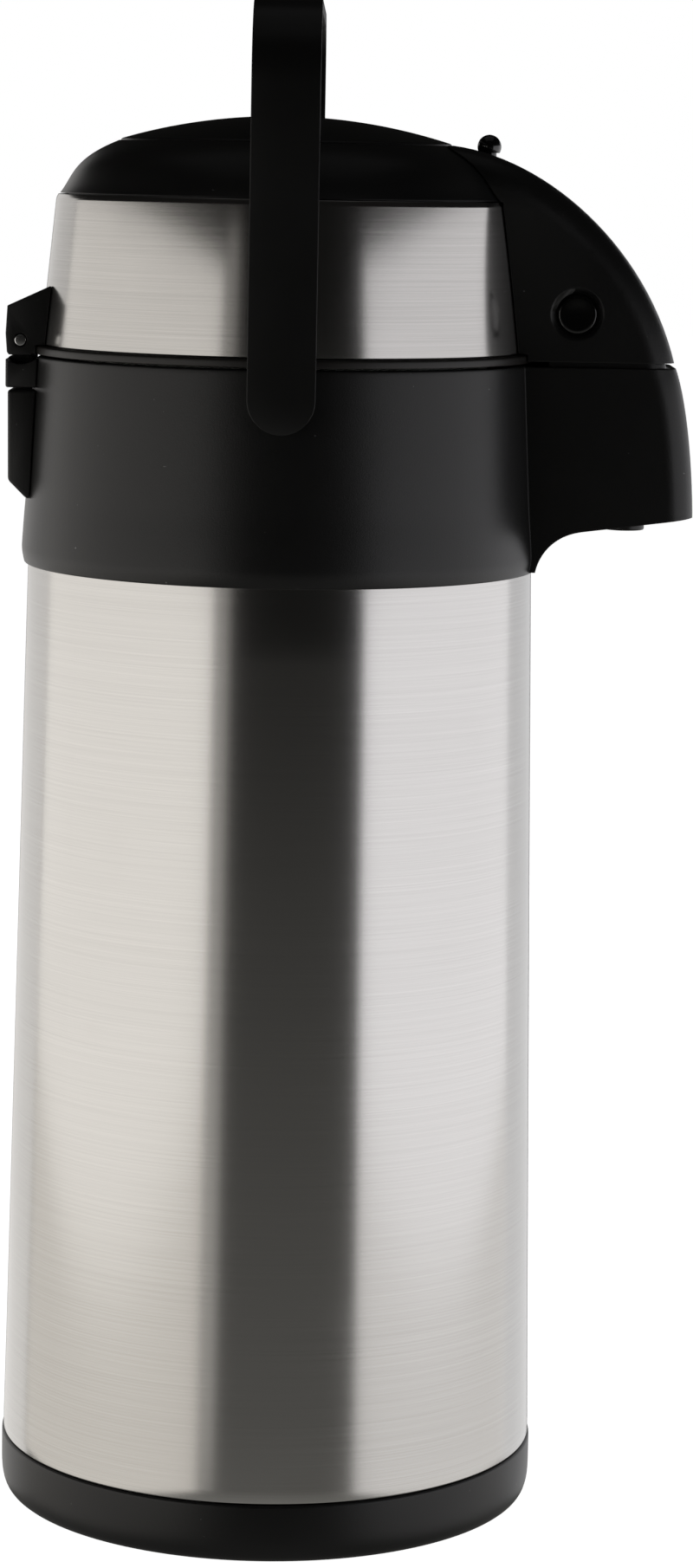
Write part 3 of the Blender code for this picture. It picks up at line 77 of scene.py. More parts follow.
def selectOnly(piece):
    deselectAll()
    piece.select_set(True)
    bpy.context.view_layer.objects.active = piece


def closeUp(piece):
    # doubles first, then every face outwards
    bpy.ops.mesh.select_all(action="SELECT")
    bpy.ops.mesh.remove_doubles(threshold=0.002 * mm)
    bpy.ops.mesh.normals_make_consistent(inside=False)
    bpy.ops.object.mode_set(mode="OBJECT")
    return piece


def selectWhere(piece, test, kind="VERT"):
    # test is given a corner's place, an edge's two ends or a face's centre and normal
    bpy.ops.mesh.select_mode(type=kind)
    bpy.ops.mesh.select_all(action="DESELECT")
    bpy.ops.object.mode_set(mode="OBJECT")
    mesh = piece.data
    if kind == "VERT":
        for corner in mesh.vertices:
            corner.select = test(corner.co)
    elif kind == "EDGE":
        for edge in mesh.edges:
            edge.select = test(*[mesh.vertices[i].co for i in edge.vertices])
    else:
        for face in mesh.polygons:
            face.select = test(face.center, face.normal)
    bpy.ops.object.mode_set(mode="EDIT")


def applyModifier(piece, kind, **settings):
    selectOnly(piece)
    added = piece.modifiers.new(kind.lower(), kind)
    for name, value in settings.items():
        setattr(added, name, value)
    bpy.ops.object.modifier_apply(modifier=added.name)


def combinePieces(piece, operation, *others):
    for other in others:
        applyModifier(piece, "BOOLEAN", object=other, operation=operation, solver="EXACT")
        bpy.data.objects.remove(other)
    return piece


def cutAway(piece, *others):
    return combinePieces(piece, "DIFFERENCE", *others)


def weld(piece, *others):
    return combinePieces(piece, "UNION", *others)


def shadeSmooth(piece, degreesKept=32):
    selectOnly(piece)
    bpy.ops.object.shade_smooth_by_angle(angle=radians(degreesKept))


def finishPiece(piece, body, material, nodes=(), smooth=32):
    selectOnly(piece)
    bpy.ops.object.transform_apply(location=True, rotation=True, scale=True)
    shadeSmooth(piece, smooth)
    piece.data.materials.clear()
    piece.data.materials.append(material)
    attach(piece, body)
    if nodes:
        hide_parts(*nodes)
    return piece


# ways of drawing

def curvePoints(start, near, far, end, count):
    # a cubic curve between two points of a side view
    found = []
    for i in range(count + 1):
        t = i / count
        s = 1 - t
        found.append(tuple(
            s ** 3 * a + 3 * s * s * t * b + 3 * s * t * t * c + t ** 3 * d
            for a, b, c, d in zip(start, near, far, end)))
    return found


def arcPoints(centre, radius, start, end, count):
    return [(centre[0] + radius * cos(radians(start + (end - start) * i / count)),
             centre[1] + radius * sin(radians(start + (end - start) * i / count)))
            for i in range(count + 1)]


def softCorners(points, steps=4):
    # each point is (x, z) or (x, z, rounding)
    found = []
    for i, point in enumerate(points):
        if len(point) == 2 or point[2] == 0 or i in (0, len(points) - 1):
            found.append((point[0], point[1]))
            continue
        x, z, size = point
        ends = []
        for other in (points[i - 1], points[i + 1]):
            dx, dz = other[0] - x, other[1] - z
            away = min(size / sqrt(dx * dx + dz * dz), 0.48)
            ends.append((x + dx * away, z + dz * away))
        for k in range(steps + 1):
            t = k / steps
            s = 1 - t
            found.append((s * s * ends[0][0] + 2 * s * t * x + t * t * ends[1][0],
                          s * s * ends[0][1] + 2 * s * t * z + t * t * ends[1][1]))
    return found


def traceLine(name, points):
    # one corner drawn out along the points, edge after edge
    deselectAll()
    bpy.ops.mesh.primitive_plane_add(size=0.01)
    piece = bpy.context.object
    piece.name = piece.data.name = name
    bpy.ops.object.mode_set(mode="EDIT")
    bpy.ops.mesh.select_mode(type="VERT")
    bpy.ops.mesh.select_all(action="SELECT")
    bpy.ops.mesh.merge(type="CENTER")
    bpy.ops.transform.translate(value=points[0])
    for before, after in zip(points, points[1:]):
        step = [b - a for a, b in zip(before, after)]
        bpy.ops.mesh.extrude_vertices_move(TRANSFORM_OT_translate={"value": step})
    return piece


def turnPiece(name, profile, steps=144, at=(0, 0)):
    # (radius, height) pairs spun round a standing axis
    piece = traceLine(name, [(r, 0, z) for r, z in profile])
    bpy.ops.mesh.select_all(action="SELECT")
    bpy.ops.mesh.spin(steps=steps, angle=2 * pi, center=(0, 0, 0), axis=(0, 0, 1))
    bpy.ops.mesh.select_all(action="SELECT")
    if any(at):
        bpy.ops.transform.translate(value=(*at, 0))
    return closeUp(piece)


def slabPiece(name, outline, low, high):
    # a side view (x, z) drawn out along Y
    points = [(x, low, z) for x, z in outline]
    piece = traceLine(name, points + points[:1])
    bpy.ops.mesh.select_all(action="SELECT")
    bpy.ops.mesh.remove_doubles(threshold=0.002 * mm)
    bpy.ops.mesh.edge_face_add()
    bpy.ops.mesh.extrude_region_move(TRANSFORM_OT_translate={"value": (0, high - low, 0)})
    return closeUp(piece)


def rodPiece(name, radius, centre, length, along="Y", steps=48):
    turn = {"X": (0, pi / 2, 0), "Y": (pi / 2, 0, 0), "Z": (0, 0, 0)}[along]
    deselectAll()
    bpy.ops.mesh.primitive_cylinder_add(
        vertices=steps, radius=radius, depth=length, location=centre, rotation=turn)
    piece = bpy.context.object
    piece.name = piece.data.name = name
    return piece


def blockPiece(name, low, high):
    deselectAll()
    bpy.ops.mesh.primitive_cube_add(
        size=1, location=[(a + b) / 2 for a, b in zip(low, high)],
        scale=[b - a for a, b in zip(low, high)])
    piece = bpy.context.object
    piece.name = piece.data.name = name
    return piece


# materials

class Signal:
    # a socket that takes part in sums
    def __init__(self, finish, socket):
        self.finish = finish
        self.socket = socket

    def sumWith(self, operation, first, second):
        return self.finish.add("ShaderNodeMath", {"operation": operation}, {0: first, 1: second})

    def __add__(self, other):
        return self.sumWith("ADD", self, other)

    __radd__ = __add__

    def __mul__(self, other):
        return self.sumWith("MULTIPLY", self, other)

    __rmul__ = __mul__

    def __sub__(self, other):
        return self.sumWith("SUBTRACT", self, other)


class Finish:
    def __init__(self, name):
        self.material = bpy.data.materials.new(name)
        self.material.use_nodes = True
        self.tree = self.material.node_tree
        self.tree.nodes.clear()

    def add(self, kind, settings=None, values=None, out=0):
        node = self.tree.nodes.new(kind)
        for name, value in (settings or {}).items():
            if name == "stops":
                ramp = node.color_ramp.elements
                while len(ramp) < len(value):
                    ramp.new(0.5)
                for stop, (place, shade) in zip(ramp, value):
                    stop.position = place
                    stop.color = (shade, shade, shade, 1)
            else:
                setattr(node, name, value)
        for name, value in (values or {}).items():
            if isinstance(value, Signal):
                self.tree.links.new(value.socket, node.inputs[name])
            else:
                node.inputs[name].default_value = value
        return Signal(self, node.outputs[out])

    def places(self, stretch=(1, 1, 1)):
        where = self.add("ShaderNodeTexCoord", out=3)
        return self.add("ShaderNodeMapping", None, {"Vector": where, "Scale": stretch})

    def noise(self, scale, detail=2, stretch=(1, 1, 1), rough=0.5):
        return self.add("ShaderNodeTexNoise", None, {
            "Vector": self.places(stretch), "Scale": scale, "Detail": detail, "Roughness": rough})

    def ramp(self, signal, *stops):
        return self.add("ShaderNodeValToRGB", {"stops": stops}, {0: signal})

    def blend(self, share, first, second):
        return self.add("ShaderNodeMix", {"data_type": "RGBA"}, {
            0: share, 6: (*first, 1) if isinstance(first, tuple) else first,
            7: (*second, 1) if isinstance(second, tuple) else second}, out=2)

    def surface(self, normal=None, **values):
        names = {"color": "Base Color", "rough": "Roughness", "metal": "Metallic",
                 "coat": "Coat Weight", "coatRough": "Coat Roughness", "level": "Specular IOR Level",
                 "alpha": "Alpha"}
        given = {names[name]: value for name, value in values.items()}
        if normal:
            given["Normal"] = normal
        shader = self.add("ShaderNodeBsdfPrincipled", None, given)
        output = self.tree.nodes.new("ShaderNodeOutputMaterial")
        self.tree.links.new(shader.socket, output.inputs[0])
        return self.material


def brushedSteel(name, look):
    # fine scratches that run round the body, so they only change with height
    made = Finish(name)
    fine = made.noise(1, 3, (look["around"], look["around"], look["fine"]), 0.7)
    broad = made.noise(1, 2, (look["around"] * 0.5, look["around"] * 0.5, look["broad"]), 0.5)
    cloud = made.noise(look["cloud"], 3)
    grain = fine * 0.75 + broad * 0.25
    color = made.blend(made.ramp(grain, (0.3, 0), (0.7, 1)), look["dark"], look["pale"])
    smear = made.ramp(cloud, (0.5, 0), (0.75, 1))
    stain = made.ramp(made.noise(look["stain"], 2), (0.6, 0), (0.8, 1)) * smear
    color = made.blend(stain * look["stainShare"], color, look["stainColor"])
    rough = grain * look["roughSpan"] + smear * look["smear"] + look["rough"]
    normal = made.add("ShaderNodeBump", None, {
        "Height": grain, "Strength": look["relief"], "Distance": 0.1 * mm})
    return made.surface(normal, color=color, metal=1.0, rough=rough)


def mouldedPlastic(name, look):
    # a fine eroded grain, slight cloudiness, a few dust specks
    made = Finish(name)
    grain = made.noise(look["grain"], 2)
    cloud = made.noise(look["cloud"], 3)
    dust = made.ramp(made.noise(look["dust"], 1), (look["dustFrom"], 0), (look["dustFrom"] + 0.04, 1))
    tone = made.blend(made.ramp(cloud, (0.3, 0), (0.7, 1)), look["dark"], look["pale"])
    color = made.blend(dust * look["dustShare"], tone, look["dustColor"])
    rough = (cloud - 0.5) * look["roughSpan"] + look["rough"]
    edge = made.add("ShaderNodeBevel", {"samples": 4}, {"Radius": look["edge"]})
    normal = made.add("ShaderNodeBump", None, {
        "Height": grain, "Strength": look["relief"], "Distance": 0.1 * mm, "Normal": edge})
    return made.surface(normal, color=color, rough=rough, level=look["level"],
                        coat=look["coat"], coatRough=look["coatRough"])


def plainSteel(name, look):
    made = Finish(name)
    cloud = made.noise(look["cloud"], 3)
    color = made.blend(cloud, look["dark"], look["pale"])
    return made.surface(None, color=color, metal=1.0, rough=cloud * look["roughSpan"] + look["rough"])


steelLook = {
    "around": 12, "fine": 5200, "broad": 2300, "cloud": 11,
    "dark": (0.54, 0.53, 0.515), "pale": (0.62, 0.61, 0.595),
    "rough": 0.14, "roughSpan": 0.06, "smear": 0.05, "relief": 0.03,
    "stain": 34, "stainShare": 0.3, "stainColor": (0.4, 0.375, 0.34),
}
plasticLook = {
    "grain": 2300, "cloud": 24, "dust": 620, "dustFrom": 0.8, "dustShare": 0.5,
    "dustColor": (0.3, 0.3, 0.3), "dark": (0.0078, 0.0078, 0.0078), "pale": (0.0105, 0.0105, 0.0107),
    "rough": 0.34, "roughSpan": 0.1, "relief": 0.3, "edge": 0.5 * mm, "coat": 0.0, "coatRough": 0.2,
    "level": 0.36,
}

bodySteel = brushedSteel("bodySteel", steelLook)
bandSteel = brushedSteel("bandSteel", dict(
    steelLook, dark=(0.4, 0.392, 0.378), pale=(0.5, 0.49, 0.474), broad=1300, cloud=18))
blackPlastic = mouldedPlastic("blackPlastic", plasticLook)
baseBlack = mouldedPlastic("baseBlack", dict(plasticLook, rough=0.36, relief=0.2))
plateBlack = mouldedPlastic("plateBlack", dict(plasticLook, rough=0.34, relief=0.22))
strapBlack = mouldedPlastic("strapBlack", dict(plasticLook, rough=0.33, relief=0.15, edge=0.4 * mm))
rimBrown = mouldedPlastic("rimBrown", dict(
    plasticLook, dark=(0.012, 0.0105, 0.0095), pale=(0.017, 0.015, 0.013), rough=0.4))
buttonGloss = mouldedPlastic("buttonGloss", dict(
    plasticLook, dark=(0.003, 0.003, 0.003), pale=(0.005, 0.005, 0.005), rough=0.16,
    roughSpan=0.04, relief=0.02, dustShare=0.1, edge=0.3 * mm, coat=0.6, coatRough=0.06))
spoutBlack = mouldedPlastic("spoutBlack", dict(plasticLook, rough=0.3, relief=0.08, edge=0.3 * mm))
innerWhite = mouldedPlastic("innerWhite", dict(
    plasticLook, dark=(0.55, 0.55, 0.52), pale=(0.66, 0.66, 0.63), rough=0.38, relief=0.1,
    dustColor=(0.4, 0.38, 0.34), dustShare=0.2))
bellowsSoft = mouldedPlastic("bellowsSoft", dict(
    plasticLook, dark=(0.62, 0.62, 0.6), pale=(0.74, 0.74, 0.71), rough=0.5, relief=0.1,
    dustShare=0.1))
bushBlack = mouldedPlastic("bushBlack", dict(plasticLook, rough=0.25, relief=0.05, edge=0.3 * mm))
footRubber = mouldedPlastic("footRubber", dict(
    plasticLook, dark=(0.015, 0.015, 0.015), pale=(0.024, 0.024, 0.023), rough=0.8, relief=0.6))
sealRubber = mouldedPlastic("sealRubber", dict(
    plasticLook, dark=(0.2, 0.19, 0.18), pale=(0.27, 0.26, 0.25), rough=0.7, relief=0.3))
flaskSteel = plainSteel("flaskSteel", {
    "cloud": 30, "dark": (0.52, 0.52, 0.52), "pale": (0.64, 0.64, 0.64), "rough": 0.24, "roughSpan": 0.1})
pinSteel = plainSteel("pinSteel", {
    "cloud": 200, "dark": (0.6, 0.6, 0.6), "pale": (0.75, 0.75, 0.75), "rough": 0.14, "roughSpan": 0.1})
screwSteel = plainSteel("screwSteel", {
    "cloud": 300, "dark": (0.45, 0.45, 0.44), "pale": (0.6, 0.6, 0.58), "rough": 0.28, "roughSpan": 0.15})
print("materials made")


# sizes read from the frame

baseLow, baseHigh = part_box("base_cup")
shellLow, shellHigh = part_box("outer_shell")
collarLow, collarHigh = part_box("collar")
lidLow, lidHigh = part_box("lid_body")
bandLow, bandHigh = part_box("lid_band")
shoulderLow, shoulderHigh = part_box("lid_shoulder")
coverLow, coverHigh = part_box("beak_cover")
plateLow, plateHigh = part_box("push_plate")
padLow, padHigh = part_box("foot_pad")
strapLow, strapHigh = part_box("handle_strap")
blockLow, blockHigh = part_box("hinge_block")
lugLow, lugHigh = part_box("hinge_lug")
flapLow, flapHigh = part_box("hinge_cover")
pinLow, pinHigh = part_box("hinge_pin")
nozzleLow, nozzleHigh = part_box("spout_nozzle")
pipeLow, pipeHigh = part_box("outlet_pipe")
knobLow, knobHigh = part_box("lock_knob")
spots = {joint["name"]: joint for joint in frame["joints"]}
pinX, _, pinZ = spots["lid_hinge"]["pos_m"]
pivotX, _, pivotZ = spots["handle_swing"]["pos_m"]
gap = 0.3 * mm


# foot pad and base

baseCup = {
    "wall": 3.2 * mm, "floor": 4 * mm, "rim": 0.9 * mm, "padInset": 11 * mm, "screwCircle": 58 * mm,
}


def makeBase():
    radius, top, lift = baseHigh.x, baseHigh.z, baseLow.z
    pad = radius - baseCup["padInset"]
    padTop = padHigh.z
    profile = softCorners([
        (0, padTop), (pad, padTop, 0.4 * mm), (pad, 0, 0.6 * mm), (pad - 6 * mm, 0), (0, 0)])
    finishPiece(turnPiece("footPad", profile), "pot", footRubber, ["foot_pad"])
    floor = padTop + gap
    profile = [(0, floor + baseCup["floor"]), (radius - baseCup["wall"], floor + baseCup["floor"])]
    profile += softCorners([
        (radius - baseCup["wall"], top), (radius - baseCup["wall"] + 0.01 * mm, top, 0.3 * mm),
        (radius, top, baseCup["rim"]), (radius, top * 0.55)], 5)
    profile += curvePoints(
        (radius, top * 0.5), (radius, top * 0.18), (radius - 1.2 * mm, lift),
        (radius - 3.4 * mm, lift), 10)
    profile += [(pad + 1.5 * mm, lift), (pad + gap, floor), (0, floor)]
    base = turnPiece("baseCup", profile)
    sinks = []
    for turn in (90, 210, 330):
        x = baseCup["screwCircle"] * cos(radians(turn))
        y = baseCup["screwCircle"] * sin(radians(turn))
        sinks.append(rodPiece("sink", 3.7 * mm, (x, y, floor), 4.4 * mm, "Z", 32))
        sinks.append(rodPiece("hole", 2.1 * mm, (x, y, 10 * mm), 30 * mm, "Z", 24))
    cutAway(base, *sinks)
    finishPiece(base, "pot", baseBlack, ["base_cup"])
    print("base made")


makeBase()


# steel body

steelBody = {"taper": 5.7 * mm, "wall": 0.9 * mm, "tuck": 6 * mm, "shoulder": 22 * mm, "neck": 38.8 * mm}


def makeShell():
    wall = steelBody["wall"]
    low, high = shellLow.z, shellHigh.z
    wide = shellHigh.x
    seat = baseHigh.z + gap
    tuck = collarLow.z + steelBody["tuck"]
    top = tuck + steelBody["shoulder"]
    spigot = baseHigh.x - baseCup["wall"] - gap
    neck = steelBody["neck"]
    narrow = wide - steelBody["taper"] * (tuck - seat) / (collarLow.z - seat)
    bend = curvePoints(
        (neck + 2 * mm, top), (neck + 22 * mm, top - mm),
        (narrow - 3 * mm, tuck + steelBody["shoulder"] * 0.62), (narrow, tuck), 14)
    outer = [(neck, high), (neck, top + 1.5 * mm)] + bend
    rows = 10
    for i in range(1, rows):
        t = i / rows
        outer.append((narrow + (wide - narrow) * t, tuck + (seat - tuck) * t))
    outer += softCorners([
        (wide, seat + 4 * mm), (wide, seat, 0.5 * mm), (spigot, seat), (spigot, low)])
    inner = [(spigot - wall, low), (spigot - wall, seat + wall), (wide - wall, seat + wall)]
    inner += [(r - wall * 0.9, z - wall * 0.7) for r, z in reversed(bend)]
    inner += [(neck - wall, top + 0.5 * mm), (neck - wall, high), (neck, high)]
    body = turnPiece("steelBody", outer + inner, 192)
    finishPiece(body, "pot", bodySteel, ["outer_shell"])
    print("steel body made")


makeShell()


# beak, drawn whole and then parted between lid and collar

beakLook = {
    "rounding": 8.5 * mm, "wall": 2.4 * mm, "split": 1.3 * mm, "rootX": 50 * mm,
    "flare": 0.33, "noseDepth": 44 * mm, "throat": 14 * mm, "fall": 5.5 * mm,
}


def beakSide(shrink=0.0):
    # the ridge and nose in side view, from the lid's shoulder to below the nozzle
    splitZ = collarHigh.z + beakLook["split"] / 2
    split = (coverHigh.x + 0.2 * mm, splitZ)
    root = (beakLook["rootX"], shoulderHigh.z + 0.1 * mm)
    nose = (collarHigh.x, collarHigh.z - beakLook["noseDepth"])
    ridge = curvePoints(
        root, (root[0] + 27.4 * mm, root[1] - 3.1 * mm),
        (split[0] - 9.4 * mm, split[1] + 35.8 * mm), split, 28)
    front = curvePoints(
        split, (split[0] + 3.7 * mm, split[1] - 9 * mm),
        (nose[0] - 0.6 * mm, nose[1] + 17 * mm), nose, 12)
    line = ridge + front[1:] + [(nose[0] + 0.1 * mm, nose[1] - 30 * mm)]
    if shrink:
        drawn = []
        for i, (x, z) in enumerate(line):
            ahead = line[min(i + 1, len(line) - 1)]
            behind = line[max(i - 1, 0)]
            dx, dz = ahead[0] - behind[0], ahead[1] - behind[1]
            size = sqrt(dx * dx + dz * dz)
            drawn.append((x + dz / size * shrink, z - dx / size * shrink))
        line = drawn
    return line


def makeBeakBlank(name, shrink=0.0, segments=6):
    line = beakSide(shrink)
    wide = coverHigh.y - shrink
    back = 38 * mm
    bottom = line[-1][1]
    outline = [(back, line[0][1])] + line + [(back, bottom)]
    blank = slabPiece(name, outline, -wide, wide)
    # round both side rims of the ridge and nose
    bpy.ops.object.mode_set(mode="EDIT")
    skin = set((round(x, 5), round(z, 5)) for x, z in outline[:-1])

    def onSideRim(first, second):
        flat = abs(abs(first.y) - wide) < 0.01 * mm and abs(first.y - second.y) < 0.01 * mm
        known = all((round(p.x, 5), round(p.z, 5)) in skin for p in (first, second))
        return flat and known

    selectWhere(blank, onSideRim, "EDGE")
    bpy.ops.mesh.bevel(
        offset=beakLook["rounding"] - shrink, offset_type="OFFSET", segments=segments, profile=0.5,
        clamp_overlap=False)
    return closeUp(blank)


def widenAtShoulder(piece):
    # the cover's sides spread where it runs into the shoulder
    bpy.ops.object.mode_set(mode="EDIT")
    for height in range(358, 418, 6):
        bpy.ops.mesh.select_all(action="SELECT")
        bpy.ops.mesh.bisect(plane_co=(0, 0, height * mm), plane_no=(0, 0, 1))
    for reach in range(56, 110, 9):
        bpy.ops.mesh.select_all(action="SELECT")
        bpy.ops.mesh.bisect(plane_co=(reach * mm, 0, 0), plane_no=(1, 0, 0))
    closeUp(piece)
    deselectAll()
    low = (30 * mm, -32 * mm, 270 * mm)
    high = (130 * mm, 32 * mm, 425 * mm)
    bpy.ops.object.add(type="LATTICE", location=[(a + b) / 2 for a, b in zip(low, high)])
    cage = bpy.context.object
    cage.scale = [b - a for a, b in zip(low, high)]
    cage.data.points_u, cage.data.points_v, cage.data.points_w = 9, 2, 12
    for point in cage.data.points:
        x = low[0] + (point.co.x + 0.5) * (high[0] - low[0])
        z = low[2] + (point.co.z + 0.5) * (high[2] - low[2])
        near = min(max((100 * mm - x) / (34 * mm), 0), 1)
        up = min(max((z - 352 * mm) / (56 * mm), 0), 1)
        spread = near * near * (3 - 2 * near) * up ** 1.6
        point.co_deform.y = point.co.y * (1 + beakLook["flare"] * spread)
    bpy.context.view_layer.update()
    applyModifier(piece, "LATTICE", object=cage)
    bpy.data.objects.remove(cage)


def lidFace(name, play):
    # the lid's turned outside, a little larger
    points = [(0, shoulderHigh.z + play), (plateHigh.x + 0.5 * mm, shoulderHigh.z + play)]
    points += [(r + play, z + play * 0.5) for r, z in shoulderLine(12)[1:]]
    points += [
        (bandTop + play, bandHigh.z), (bandHigh.x + play, bandLow.z),
        (bandHigh.x + play, lidLow.z + 2.5 * mm + gap), (lidHigh.x + play, lidLow.z + 2.5 * mm + gap),
        (lidHigh.x + play, 300 * mm), (0, 300 * mm)]
    return turnPiece(name, points, 144)


bandTop = bandHigh.x - 4.5 * mm


def shoulderLine(count):
    foot = shoulderHigh.x
    hole = plateHigh.x + 0.5 * mm
    tall = 16 * mm
    low = bandHigh.z + gap
    return curvePoints(
        (hole, shoulderHigh.z), (hole + 14 * mm, shoulderHigh.z - tall * 0.36),
        (foot - 3.9 * mm, low + 5 * mm), (foot, low), count)


def lockSlot(name, low, high):
    middle = sqrt(((knobLow.x + knobHigh.x) / 2 + 1.9 * mm) ** 2 + ((knobLow.y + knobHigh.y) / 2) ** 2)
    reach, half = 7.54, 2.7 * mm
    outline = arcPoints((0, 0), middle + half, -reach, reach, 12)
    outline += arcPoints((0, 0), middle - half, reach, -reach, 12)
    points = [(x, y, low) for x, y in outline]
    slot = traceLine(name, points + points[:1])
    bpy.ops.mesh.select_all(action="SELECT")
    bpy.ops.mesh.remove_doubles(threshold=0.002 * mm)
    bpy.ops.mesh.edge_face_add()
    bpy.ops.mesh.extrude_region_move(TRANSFORM_OT_translate={"value": (0, 0, high - low)})
    return closeUp(slot)


button = {"x": 88 * mm, "radius": 6 * mm, "dish": 7.6 * mm, "deep": 1.5 * mm, "sunk": 0.9 * mm}
buttonZ = collarHigh.z + beakLook["split"] + 14.2 * mm


def buttonDish(name, side):
    # a shallow bowl round the button, and the hole under it
    wide = coverHigh.y
    bowl = turnPiece(name, softCorners([
        (0, -button["deep"]), (button["radius"] + 0.5 * mm, -button["deep"]),
        (button["dish"] - 0.3 * mm, -0.35 * mm, 0.4 * mm), (button["dish"] + 0.5 * mm, 0.5 * mm),
        (0, 0.5 * mm)]), 64)
    bowl.rotation_euler = (side * -pi / 2, 0, 0)
    bowl.location = (button["x"], side * wide, buttonZ)
    hole = rodPiece(name + "Hole", button["radius"] + 0.5 * mm,
                    (button["x"], side * (wide - 6 * mm), buttonZ), 14 * mm, "Y", 64)
    return [bowl, hole]


def makeBeakCover():
    cover = makeBeakBlank("beakCover")
    widenAtShoulder(cover)
    room = makeBeakBlank("beakRoom", beakLook["wall"], 4)
    splitTop = collarHigh.z + beakLook["split"]
    below = blockPiece("below", (20 * mm, -60 * mm, 200 * mm), (160 * mm, 60 * mm, splitTop))
    slot = lockSlot("slotTool", 380 * mm, 430 * mm)
    cutAway(cover, below, lidFace("lidFace", gap), room, slot,
            *buttonDish("dishNear", -1), *buttonDish("dishFar", 1))
    finishPiece(cover, "lid", blackPlastic, ["beak_cover"], 30)
    print("beak cover made")


makeBeakCover()


def makeButtons():
    wide = coverHigh.y
    wallIn = wide - beakLook["wall"]
    for side, body, node in ((-1, "button_right", "release_button_right"),
                             (1, "button_left", "release_button_left")):
        face = -button["sunk"]
        back = wallIn - wide - 4 * mm
        flange = wallIn - wide
        profile = softCorners([
            (0, face - 0.35 * mm), (3 * mm, face - 0.2 * mm), (button["radius"], face, 1.4 * mm),
            (button["radius"], flange - 0.5 * mm), (button["radius"] + 1.4 * mm, flange - 0.5 * mm),
            (button["radius"] + 1.4 * mm, flange - 2.4 * mm), (button["radius"], flange - 2.4 * mm),
            (button["radius"], back), (0, back)], 6)
        made = turnPiece("releaseButton" + ("Near" if side < 0 else "Far"), profile, 64)
        made.rotation_euler = (side * -pi / 2, 0, 0)
        made.location = (button["x"], side * wide, buttonZ)
        selectOnly(made)
        bpy.ops.object.transform_apply(location=True, rotation=True, scale=True)
        armLow = collarHigh.z - 7 * mm
        span = sorted((side * (wallIn - 5.6 * mm), side * (wallIn - 3.2 * mm)))
        arm = blockPiece("arm", (button["x"] - 2.5 * mm, span[0], armLow),
                         (button["x"] + 2.5 * mm, span[1], buttonZ + 3 * mm))
        span = sorted((side * (wallIn - 5 * mm), side * (wallIn - 1.2 * mm)))
        hook = blockPiece("hook", (button["x"] - 2.5 * mm, span[0], armLow),
                          (button["x"] + 2.5 * mm, span[1], armLow + 2.4 * mm))
        weld(made, arm, hook)
        finishPiece(made, body, buttonGloss, [node], 40)
    print("release buttons made")


makeButtons()


# collar

collarShape = {"wall": 2.7 * mm, "topInset": 3.3 * mm}


